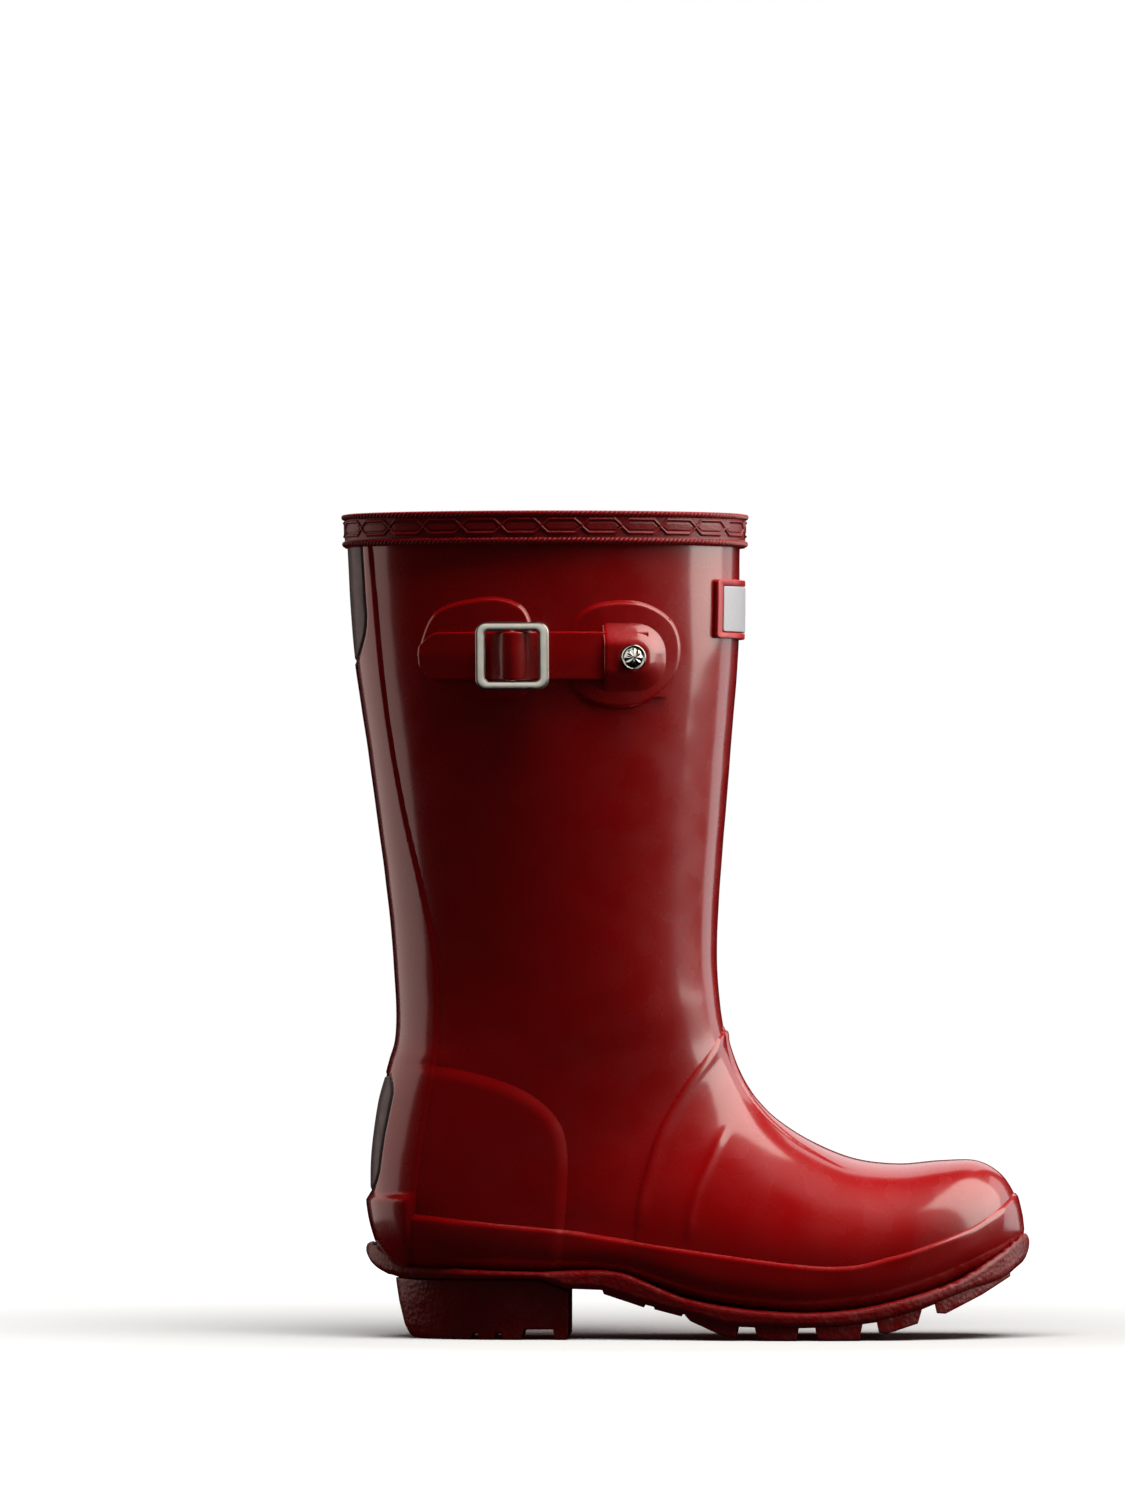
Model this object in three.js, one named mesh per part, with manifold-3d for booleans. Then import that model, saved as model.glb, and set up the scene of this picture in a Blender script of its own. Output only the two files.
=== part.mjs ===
// Child's rubber rain boot, right foot, about EU 31: a hand-laid rubber boot with its lining, sole,
// side strap, slide buckle, stud and front badge, each as a separate closed solid.
// Millimetres, +Z up, toe towards +X, outer (lateral, buckle) side towards -Y.
import * as THREE from 'three';
import { mergeVertices } from 'three/addons/utils/BufferGeometryUtils.js';
import Module from 'manifold-3d';

const wasm = await Module();
wasm.setup();

// ---------------------------------------------------------------- driving dimensions
const GAP = 0.3; // clearance between neighbouring pieces
const RIM_HEIGHT = 263.4; // ground to the top edge of the leg
const TOE_REACH = 107.6; // ankle line to the tip of the lasted toe
const WALL = 2.4; // rubber of leg and vamp
const LINING = 1.2; // knitted lining
const STIFFENER = 1.0; // heel stiffener and toe puff, let into the wall
const OVERLAY = 0.8; // back stay, counters and reflectors laid on the wall
const FOXING = 1.2; // rubber strip round the foot above the sole
const WELT = 2.2; // how far the sole edge stands out from the lasted foot
const HEEL_HEIGHT = 19.2; // ground to the top of the heel block
const HEEL_INSET = 3.0; // heel block edge inside the sole edge
const BAND_HEIGHT = 10.8; // patterned band round the rim
const BAND = 1.3; // its thickness
const FOOTBED = 3.5; // loose footbed
const BOARD_INSET = 9; // insole board edge inside the lasted edge
const STRAP_WIDTH = 15.3;
const STRAP = 1.4; // strap thickness
const STRAP_CLEARANCE = 0.5; // under and over the strap
const PATCH = 1.2; // strap patches
const BUCKLE_LENGTH = 23.5; // along the strap
const BUCKLE_HEIGHT = 21.4;
const BUCKLE_BAR = 3.3; // width of the buckle's side bars
const BUCKLE_THICKNESS = 2.2;
const BUCKLE_LIFT = 0.9; // room under the side bars for the buckle to rock
const CENTRE_BAR_RADIUS = 0.8;
const TAIL_HINGE = 2.2; // bending line of the free strap end, behind the buckle
const STUD_RADIUS = 4.3;
const POST_RADIUS = 1.5;
const BADGE_WIDTH = 40;
const BADGE_HEIGHT = 18.8;
const BADGE = 1.5; // badge frame thickness
const CLEAT_GROOVE = 4;

// Fineness of the lasted surface.
const SECTIONS = 22;
const SPOKES = 24;

// Where pieces sit, as drawn for the pattern size of this last.
const PATTERN = { rim: 263.4, ankle: 112, toe: 107.6 };
const BUCKLE_AT = { x: -53.5, z: 217.4 };
const STUD_AT = { x: -17.6, z: 216.9 };
const BADGE_Z = 232.8;

// The pattern stretches with the leg above the ankle and with the foot ahead of it.
const alongFoot = (x) => (x > 0 ? (x * TOE_REACH) / PATTERN.toe : x);
const upLeg = (z) =>
  z > PATTERN.ankle
    ? PATTERN.ankle + ((z - PATTERN.ankle) * (RIM_HEIGHT - PATTERN.ankle)) / (PATTERN.rim - PATTERN.ankle)
    : z;
const onPattern = ([x, z]) => [alongFoot(x), upLeg(z)];

// ---------------------------------------------------------------- the last
// Sections from above the rim to the toe. front and back are the ends of each section in side
// view [x, z]; lateral and medial are half widths; swing carries the section towards the big toe;
// low moves the widest line towards the back or sole; square is 2 for an ellipse, more for a
// flatter sole.
const LAST = [
  { front: [18.0, 275], back: [-107.9, 275], lateral: 41, medial: 41, swing: 0, low: 0, square: 2 },
  { front: [17.5, 250], back: [-107.2, 250], lateral: 41, medial: 41, swing: 0, low: 0, square: 2 },
  { front: [17.1, 220], back: [-105.1, 220], lateral: 40.3, medial: 40.3, swing: 0, low: 0, square: 2 },
  { front: [14.4, 185], back: [-100, 185], lateral: 38.5, medial: 38.5, swing: 0, low: 0, square: 2 },
  { front: [11.2, 147], back: [-94.8, 147], lateral: 36, medial: 36, swing: 0, low: 0, square: 2 },
  { front: [10.2, 122], back: [-92.2, 119], lateral: 34.5, medial: 34.5, swing: 0, low: 0, square: 2 },
  { front: [11.2, 107], back: [-91.8, 96], lateral: 33.5, medial: 33.5, swing: 0, low: 0.05, square: 2.1 },
  { front: [12.8, 96.7], back: [-97.2, 75], lateral: 32.5, medial: 32.5, swing: 0, low: 0.1, square: 2.2 },
  { front: [14.2, 92.0], back: [-99.5, 54], lateral: 32, medial: 31.5, swing: 0, low: 0.15, square: 2.5 },
  { front: [15.5, 88.3], back: [-97.9, 36], lateral: 31.5, medial: 31, swing: 0, low: 0.2, square: 3 },
  { front: [16.9, 85.0], back: [-91, 24.2], lateral: 31, medial: 30, swing: 0, low: 0.25, square: 3.5 },
  { front: [19.2, 80.6], back: [-74, 21.6], lateral: 30.5, medial: 29, swing: 0, low: 0.3, square: 4 },
  { front: [22.8, 75.4], back: [-50, 21], lateral: 30.5, medial: 27.5, swing: 0, low: 0.35, square: 4.4 },
  { front: [28.8, 69.4], back: [-22, 19.6], lateral: 32.5, medial: 28, swing: 0, low: 0.4, square: 4.4 },
  { front: [39.2, 62.8], back: [6, 11.4], lateral: 36, medial: 33, swing: 0.4, low: 0.4, square: 4.4 },
  { front: [53.8, 57.2], back: [32, 8.3], lateral: 38, medial: 37, swing: 1, low: 0.4, square: 4.4 },
  { front: [68, 55.4], back: [56, 9.4], lateral: 36, medial: 38, swing: 2, low: 0.4, square: 4 },
  { front: [82, 56.4], back: [76, 14.3], lateral: 31, medial: 35.5, swing: 3, low: 0.35, square: 3.6 },
  { front: [93, 56.4], back: [90, 19.7], lateral: 24, medial: 30, swing: 4, low: 0.3, square: 3.2 },
  { front: [100.5, 52.5], back: [99, 24.4], lateral: 16.5, medial: 23.5, swing: 5, low: 0.25, square: 2.8 },
  { front: [105, 46], back: [104, 28.1], lateral: 9, medial: 15, swing: 6, low: 0.2, square: 2.4 },
  { front: [107, 38.5], back: [106.9, 31.6], lateral: 3.5, medial: 5.5, swing: 6.5, low: 0.1, square: 2 },
];
const FIRST_SOLE_SECTION = 12; // from here on a section's widest points draw the sole outline
const HEEL_CENTRE_X = -52; // the heel end of the sole outline is half an ellipse about this line

// Catmull-Rom value between four neighbours.
function blendOf(p0, p1, p2, p3, t) {
  const v0 = (p2 - p0) / 2;
  const v1 = (p3 - p1) / 2;
  const t2 = t * t;
  const t3 = t2 * t;
  return (2 * p1 - 2 * p2 + v0 + v1) * t3 + (-3 * p1 + 3 * p2 - 2 * v0 - v1) * t2 + v0 * t + p1;
}

// The section at a position along the last, 0 to LAST.length - 1.
function sectionAt(position) {
  const last = LAST.length - 1;
  const i = Math.min(Math.floor(position), last - 1);
  const rows = [i - 1, i, i + 1, i + 2].map((k) => LAST[Math.min(Math.max(k, 0), last)]);
  const mix = (read) => blendOf(...rows.map(read), position - i);
  return {
    front: onPattern([mix((r) => r.front[0]), mix((r) => r.front[1])]),
    back: onPattern([mix((r) => r.back[0]), mix((r) => r.back[1])]),
    lateral: mix((r) => r.lateral),
    medial: mix((r) => r.medial),
    swing: mix((r) => r.swing),
    low: mix((r) => r.low),
    square: mix((r) => r.square),
  };
}

// A point of a section: turn 0 is its front rail, a quarter turn its lateral side.
function sectionPoint(section, turn) {
  const [fx, fz] = section.front;
  const [bx, bz] = section.back;
  const c = Math.cos(turn * 2 * Math.PI);
  const s = Math.sin(turn * 2 * Math.PI);
  const power = c >= 0 ? 1 : 2 / section.square;
  const reach = c >= 0 ? 1 + section.low : 1 - section.low;
  const u = -section.low + Math.sign(c) * reach * Math.abs(c) ** power;
  const half = s >= 0 ? -section.lateral : section.medial;
  const y = section.swing + half * Math.abs(s) ** power;
  return new THREE.Vector3((fx + bx) / 2 + ((fx - bx) / 2) * u, y, (fz + bz) / 2 + ((fz - bz) / 2) * u);
}

// The lasted surface as rings of points with outward normals, worked out once.
const rings = [];
for (let i = 0; i <= SECTIONS; i += 1) {
  const section = sectionAt((i * (LAST.length - 1)) / SECTIONS);
  rings.push(Array.from({ length: SPOKES }, (_, j) => sectionPoint(section, j / SPOKES)));
}
const normals = rings.map((ring, i) =>
  ring.map((_, j) => {
    const along = rings[Math.min(i + 1, SECTIONS)][j].clone().sub(rings[Math.max(i - 1, 0)][j]);
    const around = ring[(j + 1) % SPOKES].clone().sub(ring[(j + SPOKES - 1) % SPOKES]);
    return around.cross(along).normalize();
  }),
);
const TOE_TIP = new THREE.Vector3(alongFoot(107.4), 6.6, 34.6);

// The closed surface that lies a distance outside (or, negative, inside) the last.
function skinGeometry(distance) {
  const points = rings.flatMap((ring, i) =>
    ring.map((p, j) => p.clone().addScaledVector(normals[i][j], distance)),
  );
  const tip = TOE_TIP.clone();
  tip.x += distance;
  const top = new THREE.Vector3();
  rings[0].forEach((p) => top.add(p));
  points.push(top.divideScalar(SPOKES), tip);
  const topIndex = points.length - 2;
  const tipIndex = points.length - 1;
  const index = [];
  for (let j = 0; j < SPOKES; j += 1) {
    const k = (j + 1) % SPOKES;
    for (let i = 0; i < SECTIONS; i += 1) {
      const [a, b, c, d] = [i * SPOKES + j, i * SPOKES + k, (i + 1) * SPOKES + k, (i + 1) * SPOKES + j];
      index.push(a, b, d, d, b, c);
    }
    index.push(topIndex, k, j);
    index.push(tipIndex, SECTIONS * SPOKES + j, SECTIONS * SPOKES + k);
  }
  const geometry = new THREE.BufferGeometry().setFromPoints(points);
  geometry.setIndex(index);
  return geometry;
}

// ---------------------------------------------------------------- solids
function solidOf(geometry) {
  const bare = geometry.clone();
  bare.deleteAttribute('normal');
  bare.deleteAttribute('uv');
  const merged = mergeVertices(bare, 1e-4);
  return new wasm.Manifold(
    new wasm.Mesh({
      numProp: 3,
      vertProperties: new Float32Array(merged.getAttribute('position').array),
      triVerts: new Uint32Array(merged.getIndex().array),
    }),
  );
}

function geometryOf(solid) {
  const mesh = solid.getMesh();
  const geometry = new THREE.BufferGeometry();
  geometry.setAttribute('position', new THREE.BufferAttribute(new Float32Array(mesh.vertProperties), 3));
  geometry.setIndex(new THREE.BufferAttribute(new Uint32Array(mesh.triVerts), 1));
  return geometry;
}

// Largest body of a cut piece, without the crumbs that a cut may leave.
function mainBody(solid) {
  return solid.decompose().reduce((best, piece) => (piece.volume() > best.volume() ? piece : best));
}

const skins = new Map();
function skin(distance) {
  if (!skins.has(distance)) skins.set(distance, solidOf(skinGeometry(distance)));
  return skins.get(distance);
}
const layer = (inner, outer) => skin(outer).subtract(skin(inner));

// Smooth line through points.
function smooth(points, pieces = 2) {
  const curve = new THREE.SplineCurve(points.map(([a, b]) => new THREE.Vector2(a, b)));
  return curve.getPoints((points.length - 1) * pieces).map((p) => [p.x, p.y]);
}

// Height of a line z(x) at x.
function heightOn(line, x) {
  const k = Math.max(1, line.findIndex((p, i) => i > 0 && p[0] >= x));
  const [[x0, z0], [x1, z1]] = [line[k - 1], line[k]];
  return z0 + ((z1 - z0) * (x - x0)) / (x1 - x0);
}

// Prism with a side-view outline [x, z], between two y values.
function sidePrism(outline, y0 = -150, y1 = 150) {
  const shape = new THREE.Shape(outline.map(([x, z]) => new THREE.Vector2(x, z)));
  const geometry = new THREE.ExtrudeGeometry(shape, { depth: y1 - y0, bevelEnabled: false, curveSegments: 6 });
  geometry.rotateX(Math.PI / 2);
  geometry.translate(0, y1, 0);
  return solidOf(geometry);
}

// Upright prism with a plan outline [x, y].
function planPrism(outline, z0, z1) {
  const shape = new THREE.Shape(outline.map(([x, y]) => new THREE.Vector2(x, y)));
  const geometry = new THREE.ExtrudeGeometry(shape, { depth: z1 - z0, bevelEnabled: false });
  geometry.translate(0, 0, z0);
  return solidOf(geometry);
}

function block(x0, x1, y0, y1, z0, z1) {
  const geometry = new THREE.BoxGeometry(x1 - x0, y1 - y0, z1 - z0);
  geometry.translate((x0 + x1) / 2, (y0 + y1) / 2, (z0 + z1) / 2);
  return solidOf(geometry);
}

const shifted = (outline, dx, dz) => outline.map(([x, z]) => [x + dx, z + dz]);

// Closed smooth outline through points.
function smoothLoop(points, pieces = 2) {
  const curve = new THREE.CatmullRomCurve3(
    points.map(([a, b]) => new THREE.Vector3(a, b, 0)),
    true,
    'centripetal',
  );
  return curve.getPoints(points.length * pieces).slice(0, -1).map((p) => [p.x, p.y]);
}

// Plan or side outline moved outwards by a distance (its points run anticlockwise).
function grown(outline, distance) {
  const count = outline.length;
  return outline.map(([x, y], i) => {
    const [px, py] = outline[(i + count - 1) % count];
    const [nx, ny] = outline[(i + 1) % count];
    const length = Math.hypot(nx - px, ny - py);
    return [x + ((ny - py) / length) * distance, y - ((nx - px) / length) * distance];
  });
}

// ---------------------------------------------------------------- lines drawn on the boot
// Top edge of the sole, heel to toe.
const WELT_LINE = smooth(
  [
    [-115, 33], [-101, 28.6], [-94, 25.2], [-86, 23.4], [-52, 21.8], [-35, 22.2], [-20, 21.6], [2.6, 13],
    [29.4, 9.3], [52.5, 9.8], [73.9, 14.4], [88, 19.5], [97, 25], [103.6, 29.4], [108.2, 33], [116, 39],
  ].map(onPattern),
);

// Top edge of the foxing, rising at the toe as a bumper.
const FOXING_LINE = smooth(
  [
    [-115, 41.6], [-86, 40.2], [-61.4, 37.6], [-38, 35.2], [-0.6, 29.4], [44.5, 23.9], [66, 27],
    [87, 34.1], [103, 44.5], [108, 49.8], [116, 55],
  ].map(onPattern),
);

// Front edge of the back stay, top to bottom.
const STAY_EDGE = smooth(
  [[-99.2, 252], [-94.7, 204], [-89.3, 171.5], [-82.6, 143], [-78.4, 122.6], [-77.8, 102], [-78.6, 87],
    [-83, 60], [-85, 43]].map(onPattern),
);

// Front edge of the heel counter, from the stay down to the foxing.
const COUNTER_EDGE = smooth(
  [[-100, 88.5], [-78.4, 87], [-61.4, 83.5], [-48.4, 78], [-40, 70], [-37, 60], [-37.4, 43.2], [-39.4, 20]].map(
    onPattern,
  ),
);

// Rear edge of the vamp, from the instep down to the sole.
const VAMP_EDGE = smooth(
  [[20, 106], [12.6, 98.5], [7.2, 90.5], [0.3, 81.5], [-8, 66.9], [-12.5, 53.1], [-15.4, 39.4], [-17, 10]].map(
    onPattern,
  ),
);

// Sole outline in plan: half an ellipse round the heel, then the widest points of the foot sections.
function soleOutline(distance) {
  const sections = [];
  for (let i = FIRST_SOLE_SECTION; i <= LAST.length - 1; i += 1) sections.push(sectionAt(i));
  const side = (turn) => sections.map((s) => sectionPoint(s, turn)).map((p) => [p.x, p.y]);
  const lateral = side(0.25);
  const medial = side(0.75);
  const heelReach = HEEL_CENTRE_X - Math.min(...rings.flat().filter((p) => p.z < PATTERN.ankle).map((p) => p.x));
  const [halfLateral, halfMedial] = [-lateral[0][1], medial[0][1]];
  const heel = Array.from({ length: 13 }, (_, i) => {
    const angle = Math.PI / 2 + (i * Math.PI) / 12;
    const half = Math.sin(angle) > 0 ? halfMedial : halfLateral;
    return [HEEL_CENTRE_X + heelReach * Math.cos(angle), half * Math.sin(angle)];
  });
  return grown([...heel, ...lateral, ...medial.reverse()], distance);
}

// ---------------------------------------------------------------- wall, lining and inner pieces
const LINING_OUT = -(WALL + GAP);
const LINING_IN = LINING_OUT - LINING;
const BED_OUT = LINING_IN - 2 * GAP;
const FAR = 200;
const belowHeight = (z) => block(-FAR, FAR, -FAR, FAR, -50, z);

const vampSide = (dx, dz) => sidePrism([...shifted(VAMP_EDGE, dx, dz), [FAR, -20], [FAR, VAMP_EDGE[0][1]]]);

// Inner stiffeners: a cup round the heel and a cap over the toe, between wall and lining.
const HEEL_CUP = { front: -52, top: 74, bottom: 33 };
const TOE_CAP = { back: 80, bottom: 30 };
const heelCupZone = (extra) =>
  sidePrism(
    grown(
      [
        [-120, HEEL_CUP.bottom + 4],
        [HEEL_CUP.front, HEEL_CUP.bottom],
        [HEEL_CUP.front + 5, HEEL_CUP.bottom + 12],
        [HEEL_CUP.front - 4, HEEL_CUP.top - 8],
        [HEEL_CUP.front - 14, HEEL_CUP.top],
        [-120, HEEL_CUP.top],
      ],
      extra,
    ),
  );
const toeCapZone = (extra) =>
  sidePrism(
    grown(
      [[TOE_CAP.back, TOE_CAP.bottom], [130, TOE_CAP.bottom + 10], [130, 80], [TOE_CAP.back + 6, 80]].map(onPattern),
      extra,
    ),
  );
const stiffener = (zone) => zone(0).intersect(layer(-WALL, -WALL + STIFFENER));
const stiffenerRecess = (zone) => zone(GAP).intersect(skin(-WALL + STIFFENER + GAP));

// The insole board closes an opening in the lasted bottom.
const boardZone = (distance) =>
  planPrism(soleOutline(-BOARD_INSET + distance), -5, 60).intersect(
    sidePrism([...shifted(WELT_LINE, 0, 5), [FAR, -20], [-FAR, -20]]),
  );

// ---------------------------------------------------------------- seats on the lateral side
const seatMesh = new THREE.Mesh(skinGeometry(0));
seatMesh.geometry.computeVertexNormals();
seatMesh.geometry.computeBoundingSphere();
const caster = new THREE.Raycaster();

// Point and outward normal of the wall's lateral side at a place in side view.
function seatOn(x, z) {
  caster.set(new THREE.Vector3(x, -FAR, z), new THREE.Vector3(0, 1, 0));
  const hit = caster.intersectObject(seatMesh)[0];
  return { point: hit.point, normal: hit.normal.clone().normalize() };
}

// Frame with x along the strap, y up and z outwards, standing off the wall by a distance.
function frameOn(x, z, distance) {
  const { point, normal } = seatOn(x, z);
  const up = new THREE.Vector3(0, 0, 1).addScaledVector(normal, -normal.z).normalize();
  const along = up.clone().cross(normal);
  return new THREE.Matrix4().makeBasis(along, up, normal).setPosition(point.addScaledVector(normal, distance));
}

function cylinderOn(frame, radius, from, to, sides = 20) {
  const geometry = new THREE.CylinderGeometry(radius, radius, to - from, sides);
  geometry.rotateX(Math.PI / 2);
  geometry.translate(0, 0, (from + to) / 2);
  return solidOf(geometry.applyMatrix4(frame));
}

// Strip that follows the wall at a varying height: samples are [x, height of its underside].
function ribbon(samples, zLow, zHigh, thickness) {
  const points = samples.flatMap(([x, height]) =>
    [zLow, zHigh].flatMap((z) => {
      const { point, normal } = seatOn(x, z);
      return [height, height + thickness].map((h) => point.clone().addScaledVector(normal, h));
    }),
  );
  const index = [];
  const quad = (a, b, c, d) => index.push(a, c, b, a, d, c);
  const corners = [0, 1, 3, 2];
  for (let i = 0; i < samples.length - 1; i += 1) {
    corners.forEach((corner, k) => {
      const next = corners[(k + 1) % 4];
      quad(i * 4 + corner, (i + 1) * 4 + corner, (i + 1) * 4 + next, i * 4 + next);
    });
  }
  const end = (samples.length - 1) * 4;
  quad(0, 1, 3, 2);
  quad(end + 2, end + 3, end + 1, end);
  const geometry = new THREE.BufferGeometry().setFromPoints(points);
  geometry.setIndex(index);
  return solidOf(geometry);
}

// ---------------------------------------------------------------- strap, patches, buckle
const buckleAt = { x: BUCKLE_AT.x, z: upLeg(BUCKLE_AT.z) };
const studAt = { x: STUD_AT.x, z: upLeg(STUD_AT.z) };
const STRAP_BASE = GAP + PATCH + STRAP_CLEARANCE; // underside of the strap above the wall
const BUCKLE_BASE = STRAP_BASE + STRAP + BUCKLE_LIFT; // underside of the buckle
const BAR_TOP = BUCKLE_BASE + 2 * CENTRE_BAR_RADIUS;
const DOME_UNDERSIDE = STRAP_BASE + STRAP + STRAP_CLEARANCE;
const BUCKLE_WINDOW = BUCKLE_LENGTH / 2 - BUCKLE_BAR;
const hingeX = buckleAt.x - BUCKLE_LENGTH / 2 - TAIL_HINGE;
const STRAP_END = -12; // front end of the strap, hidden in the pocket
const POCKET_END = STRAP_END + 2;
const TAIL_END = -83.4;

function strapHeight(x) {
  const away = Math.abs(x - buckleAt.x) / (BUCKLE_WINDOW - 0.4);
  const rise = BAR_TOP + GAP - STRAP_BASE;
  return STRAP_BASE + (away < 1 ? rise * Math.cos((away * Math.PI) / 2) ** 2 : 0);
}

function strapSamples(from, to, step) {
  const count = Math.ceil(Math.abs(to - from) / step);
  return Array.from({ length: count + 1 }, (_, i) => {
    const x = from + ((to - from) * i) / count;
    return [x, strapHeight(x)];
  });
}

const strapLow = buckleAt.z - STRAP_WIDTH / 2;
const strapHigh = buckleAt.z + STRAP_WIDTH / 2;

const REAR_PATCH = smoothLoop(
  [[-47.4, 217], [-48.4, 229], [-55.4, 235.5], [-71.7, 235.2], [-82.4, 227], [-84.2, 219], [-80.4, 209.3],
    [-69, 203.4], [-55.4, 203], [-48.6, 207]].map(onPattern),
);
const FRONT_PATCH = smoothLoop(
  [[-1, 219], [-4, 229], [-14.4, 234.7], [-28.5, 233.8], [-35.6, 227], [-36.4, 217], [-35.4, 207], [-27, 201.4],
    [-14.4, 201.3], [-4.4, 208.6]].map(onPattern),
);
const DOME = { back: -26, front: -7.4, height: 19.6, radius: 6 };

function roundedRectangle(width, height, radius) {
  const [w, h] = [width / 2, height / 2];
  const shape = new THREE.Shape();
  shape.moveTo(-w + radius, -h);
  shape.lineTo(w - radius, -h);
  shape.absarc(w - radius, -h + radius, radius, -Math.PI / 2, 0);
  shape.lineTo(w, h - radius);
  shape.absarc(w - radius, h - radius, radius, 0, Math.PI / 2);
  shape.lineTo(-w + radius, h);
  shape.absarc(-w + radius, h - radius, radius, Math.PI / 2, Math.PI);
  shape.lineTo(-w, -h + radius);
  shape.absarc(-w + radius, -h + radius, radius, Math.PI, Math.PI * 1.5);
  return shape;
}

const outlineOf = (shape, x, z) => shape.getPoints(4).map((p) => [p.x + x, p.y + z]);

const studFrame = frameOn(studAt.x, studAt.z, 0);
const studHole = cylinderOn(studFrame, POST_RADIUS + GAP, -12, 20);

function frontPatch() {
  const domeX = (DOME.back + DOME.front) / 2;
  const dome = sidePrism(
    outlineOf(roundedRectangle(DOME.front - DOME.back, DOME.height, DOME.radius), domeX, studAt.z),
    -150,
    0,
  ).intersect(layer(GAP, DOME_UNDERSIDE + PATCH));
  const pocket = sidePrism(
    [[-60, strapLow - GAP], [POCKET_END, strapLow - GAP], [POCKET_END, strapHigh + GAP],
      [-60, strapHigh + GAP]],
    -150,
    0,
  ).intersect(layer(GAP + PATCH, DOME_UNDERSIDE));
  const plate = sidePrism(FRONT_PATCH, -150, 0).intersect(layer(GAP, GAP + PATCH));
  return plate.add(dome).subtract(pocket).subtract(studHole);
}

const rearPatch = () => sidePrism(REAR_PATCH, -150, 0).intersect(layer(GAP, GAP + PATCH));

const strap = () =>
  ribbon(strapSamples(STRAP_END, hingeX + GAP, 1.5), strapLow, strapHigh, STRAP).subtract(studHole);

function strapTail() {
  const z = buckleAt.z;
  const half = STRAP_WIDTH / 2 + 1;
  const end = smooth([[TAIL_END + 5, half], [TAIL_END + 1, half - 4], [TAIL_END, 0], [TAIL_END + 4, -half]]);
  const outline = [[hingeX, -half], [hingeX, half], ...end].map(([x, dz]) => [x, z + dz]);
  return ribbon(strapSamples(hingeX - 0.8, TAIL_END - 2, 2.5), strapLow, strapHigh, STRAP).intersect(
    sidePrism(outline, -150, 0),
  );
}

// Slide buckle cast in one piece: a rounded frame with a lower bar across its middle.
function buckle() {
  const shape = roundedRectangle(BUCKLE_LENGTH, BUCKLE_HEIGHT, 3.2);
  const window = roundedRectangle(2 * BUCKLE_WINDOW, STRAP_WIDTH + 2 * GAP, 1.2);
  shape.holes.push(new THREE.Path(window.getPoints(4)));
  const edge = 0.4;
  const frame = new THREE.ExtrudeGeometry(shape, {
    depth: BUCKLE_THICKNESS - 2 * edge,
    bevelThickness: edge,
    bevelSize: edge,
    bevelOffset: -edge,
    bevelSegments: 1,
    curveSegments: 4,
  });
  frame.translate(0, 0, edge);
  const bar = new THREE.CylinderGeometry(CENTRE_BAR_RADIUS, CENTRE_BAR_RADIUS, BUCKLE_HEIGHT - 2, 16);
  bar.translate(0, 0, CENTRE_BAR_RADIUS);
  return solidOf(frame).add(solidOf(bar));
}

// ---------------------------------------------------------------- stud
const CAP_BASE = DOME_UNDERSIDE + PATCH + 1.5 * GAP;
const CAP_HEIGHT = 1.7;
const FLANGE = 0.8;
const FLANGE_RADIUS = 3.2;

function lathe(profile, sides = 24) {
  const geometry = new THREE.LatheGeometry(profile.map(([r, h]) => new THREE.Vector2(r, h)), sides);
  geometry.rotateX(Math.PI / 2);
  return geometry;
}

const studCap = () =>
  lathe([
    [POST_RADIUS + GAP, CAP_BASE], [STUD_RADIUS, CAP_BASE], [STUD_RADIUS, CAP_BASE + 0.5],
    [STUD_RADIUS * 0.8, CAP_BASE + 1.2], [STUD_RADIUS * 0.4, CAP_BASE + CAP_HEIGHT - 0.1], [0, CAP_BASE + CAP_HEIGHT],
    [0, CAP_BASE + 1.1], [POST_RADIUS + GAP, CAP_BASE + 1.1], [POST_RADIUS + GAP, CAP_BASE],
  ]);
const studRivet = () =>
  lathe([
    [0, -WALL], [FLANGE_RADIUS, -WALL], [FLANGE_RADIUS, -WALL + FLANGE], [POST_RADIUS, -WALL + FLANGE],
    [POST_RADIUS, CAP_BASE + 0.8], [0, CAP_BASE + 0.8],
  ]);

// ---------------------------------------------------------------- pieces worn outside the wall
function legWall() {
  const tube = skin(0)
    .subtract(skin(-WALL))
    .intersect(belowHeight(RIM_HEIGHT - 0.4))
    .subtract(stiffenerRecess(heelCupZone));
  const flangeRecess = cylinderOn(studFrame, FLANGE_RADIUS + GAP, -WALL - 3, -WALL + FLANGE + GAP);
  const cut = tube.subtract(boardZone(GAP)).subtract(vampSide(-GAP, GAP));
  return mainBody(cut.subtract(studHole).subtract(flangeRecess));
}

function vamp() {
  const cup = skin(0).subtract(skin(-WALL)).subtract(stiffenerRecess(toeCapZone));
  return mainBody(cup.subtract(boardZone(GAP)).intersect(vampSide(0, 0)));
}

const LINING_SEAM = 100;
const lining = () => layer(LINING_IN, LINING_OUT);
const legLining = () => lining().intersect(block(-FAR, FAR, -FAR, FAR, LINING_SEAM + GAP, RIM_HEIGHT - 0.8));
const footLining = () => lining().intersect(belowHeight(LINING_SEAM));
const insoleBoard = () => mainBody(layer(-WALL, 0).intersect(boardZone(0)));
const footbed = () => {
  const top = shifted(WELT_LINE, 0, FOOTBED - BED_OUT - 1);
  return mainBody(skin(BED_OUT).intersect(sidePrism([...top, [FAR, 0], [-FAR, 0]])));
};

const topBand = () =>
  layer(GAP, GAP + BAND).intersect(block(-FAR, FAR, -FAR, FAR, RIM_HEIGHT - BAND_HEIGHT, RIM_HEIGHT));

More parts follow.
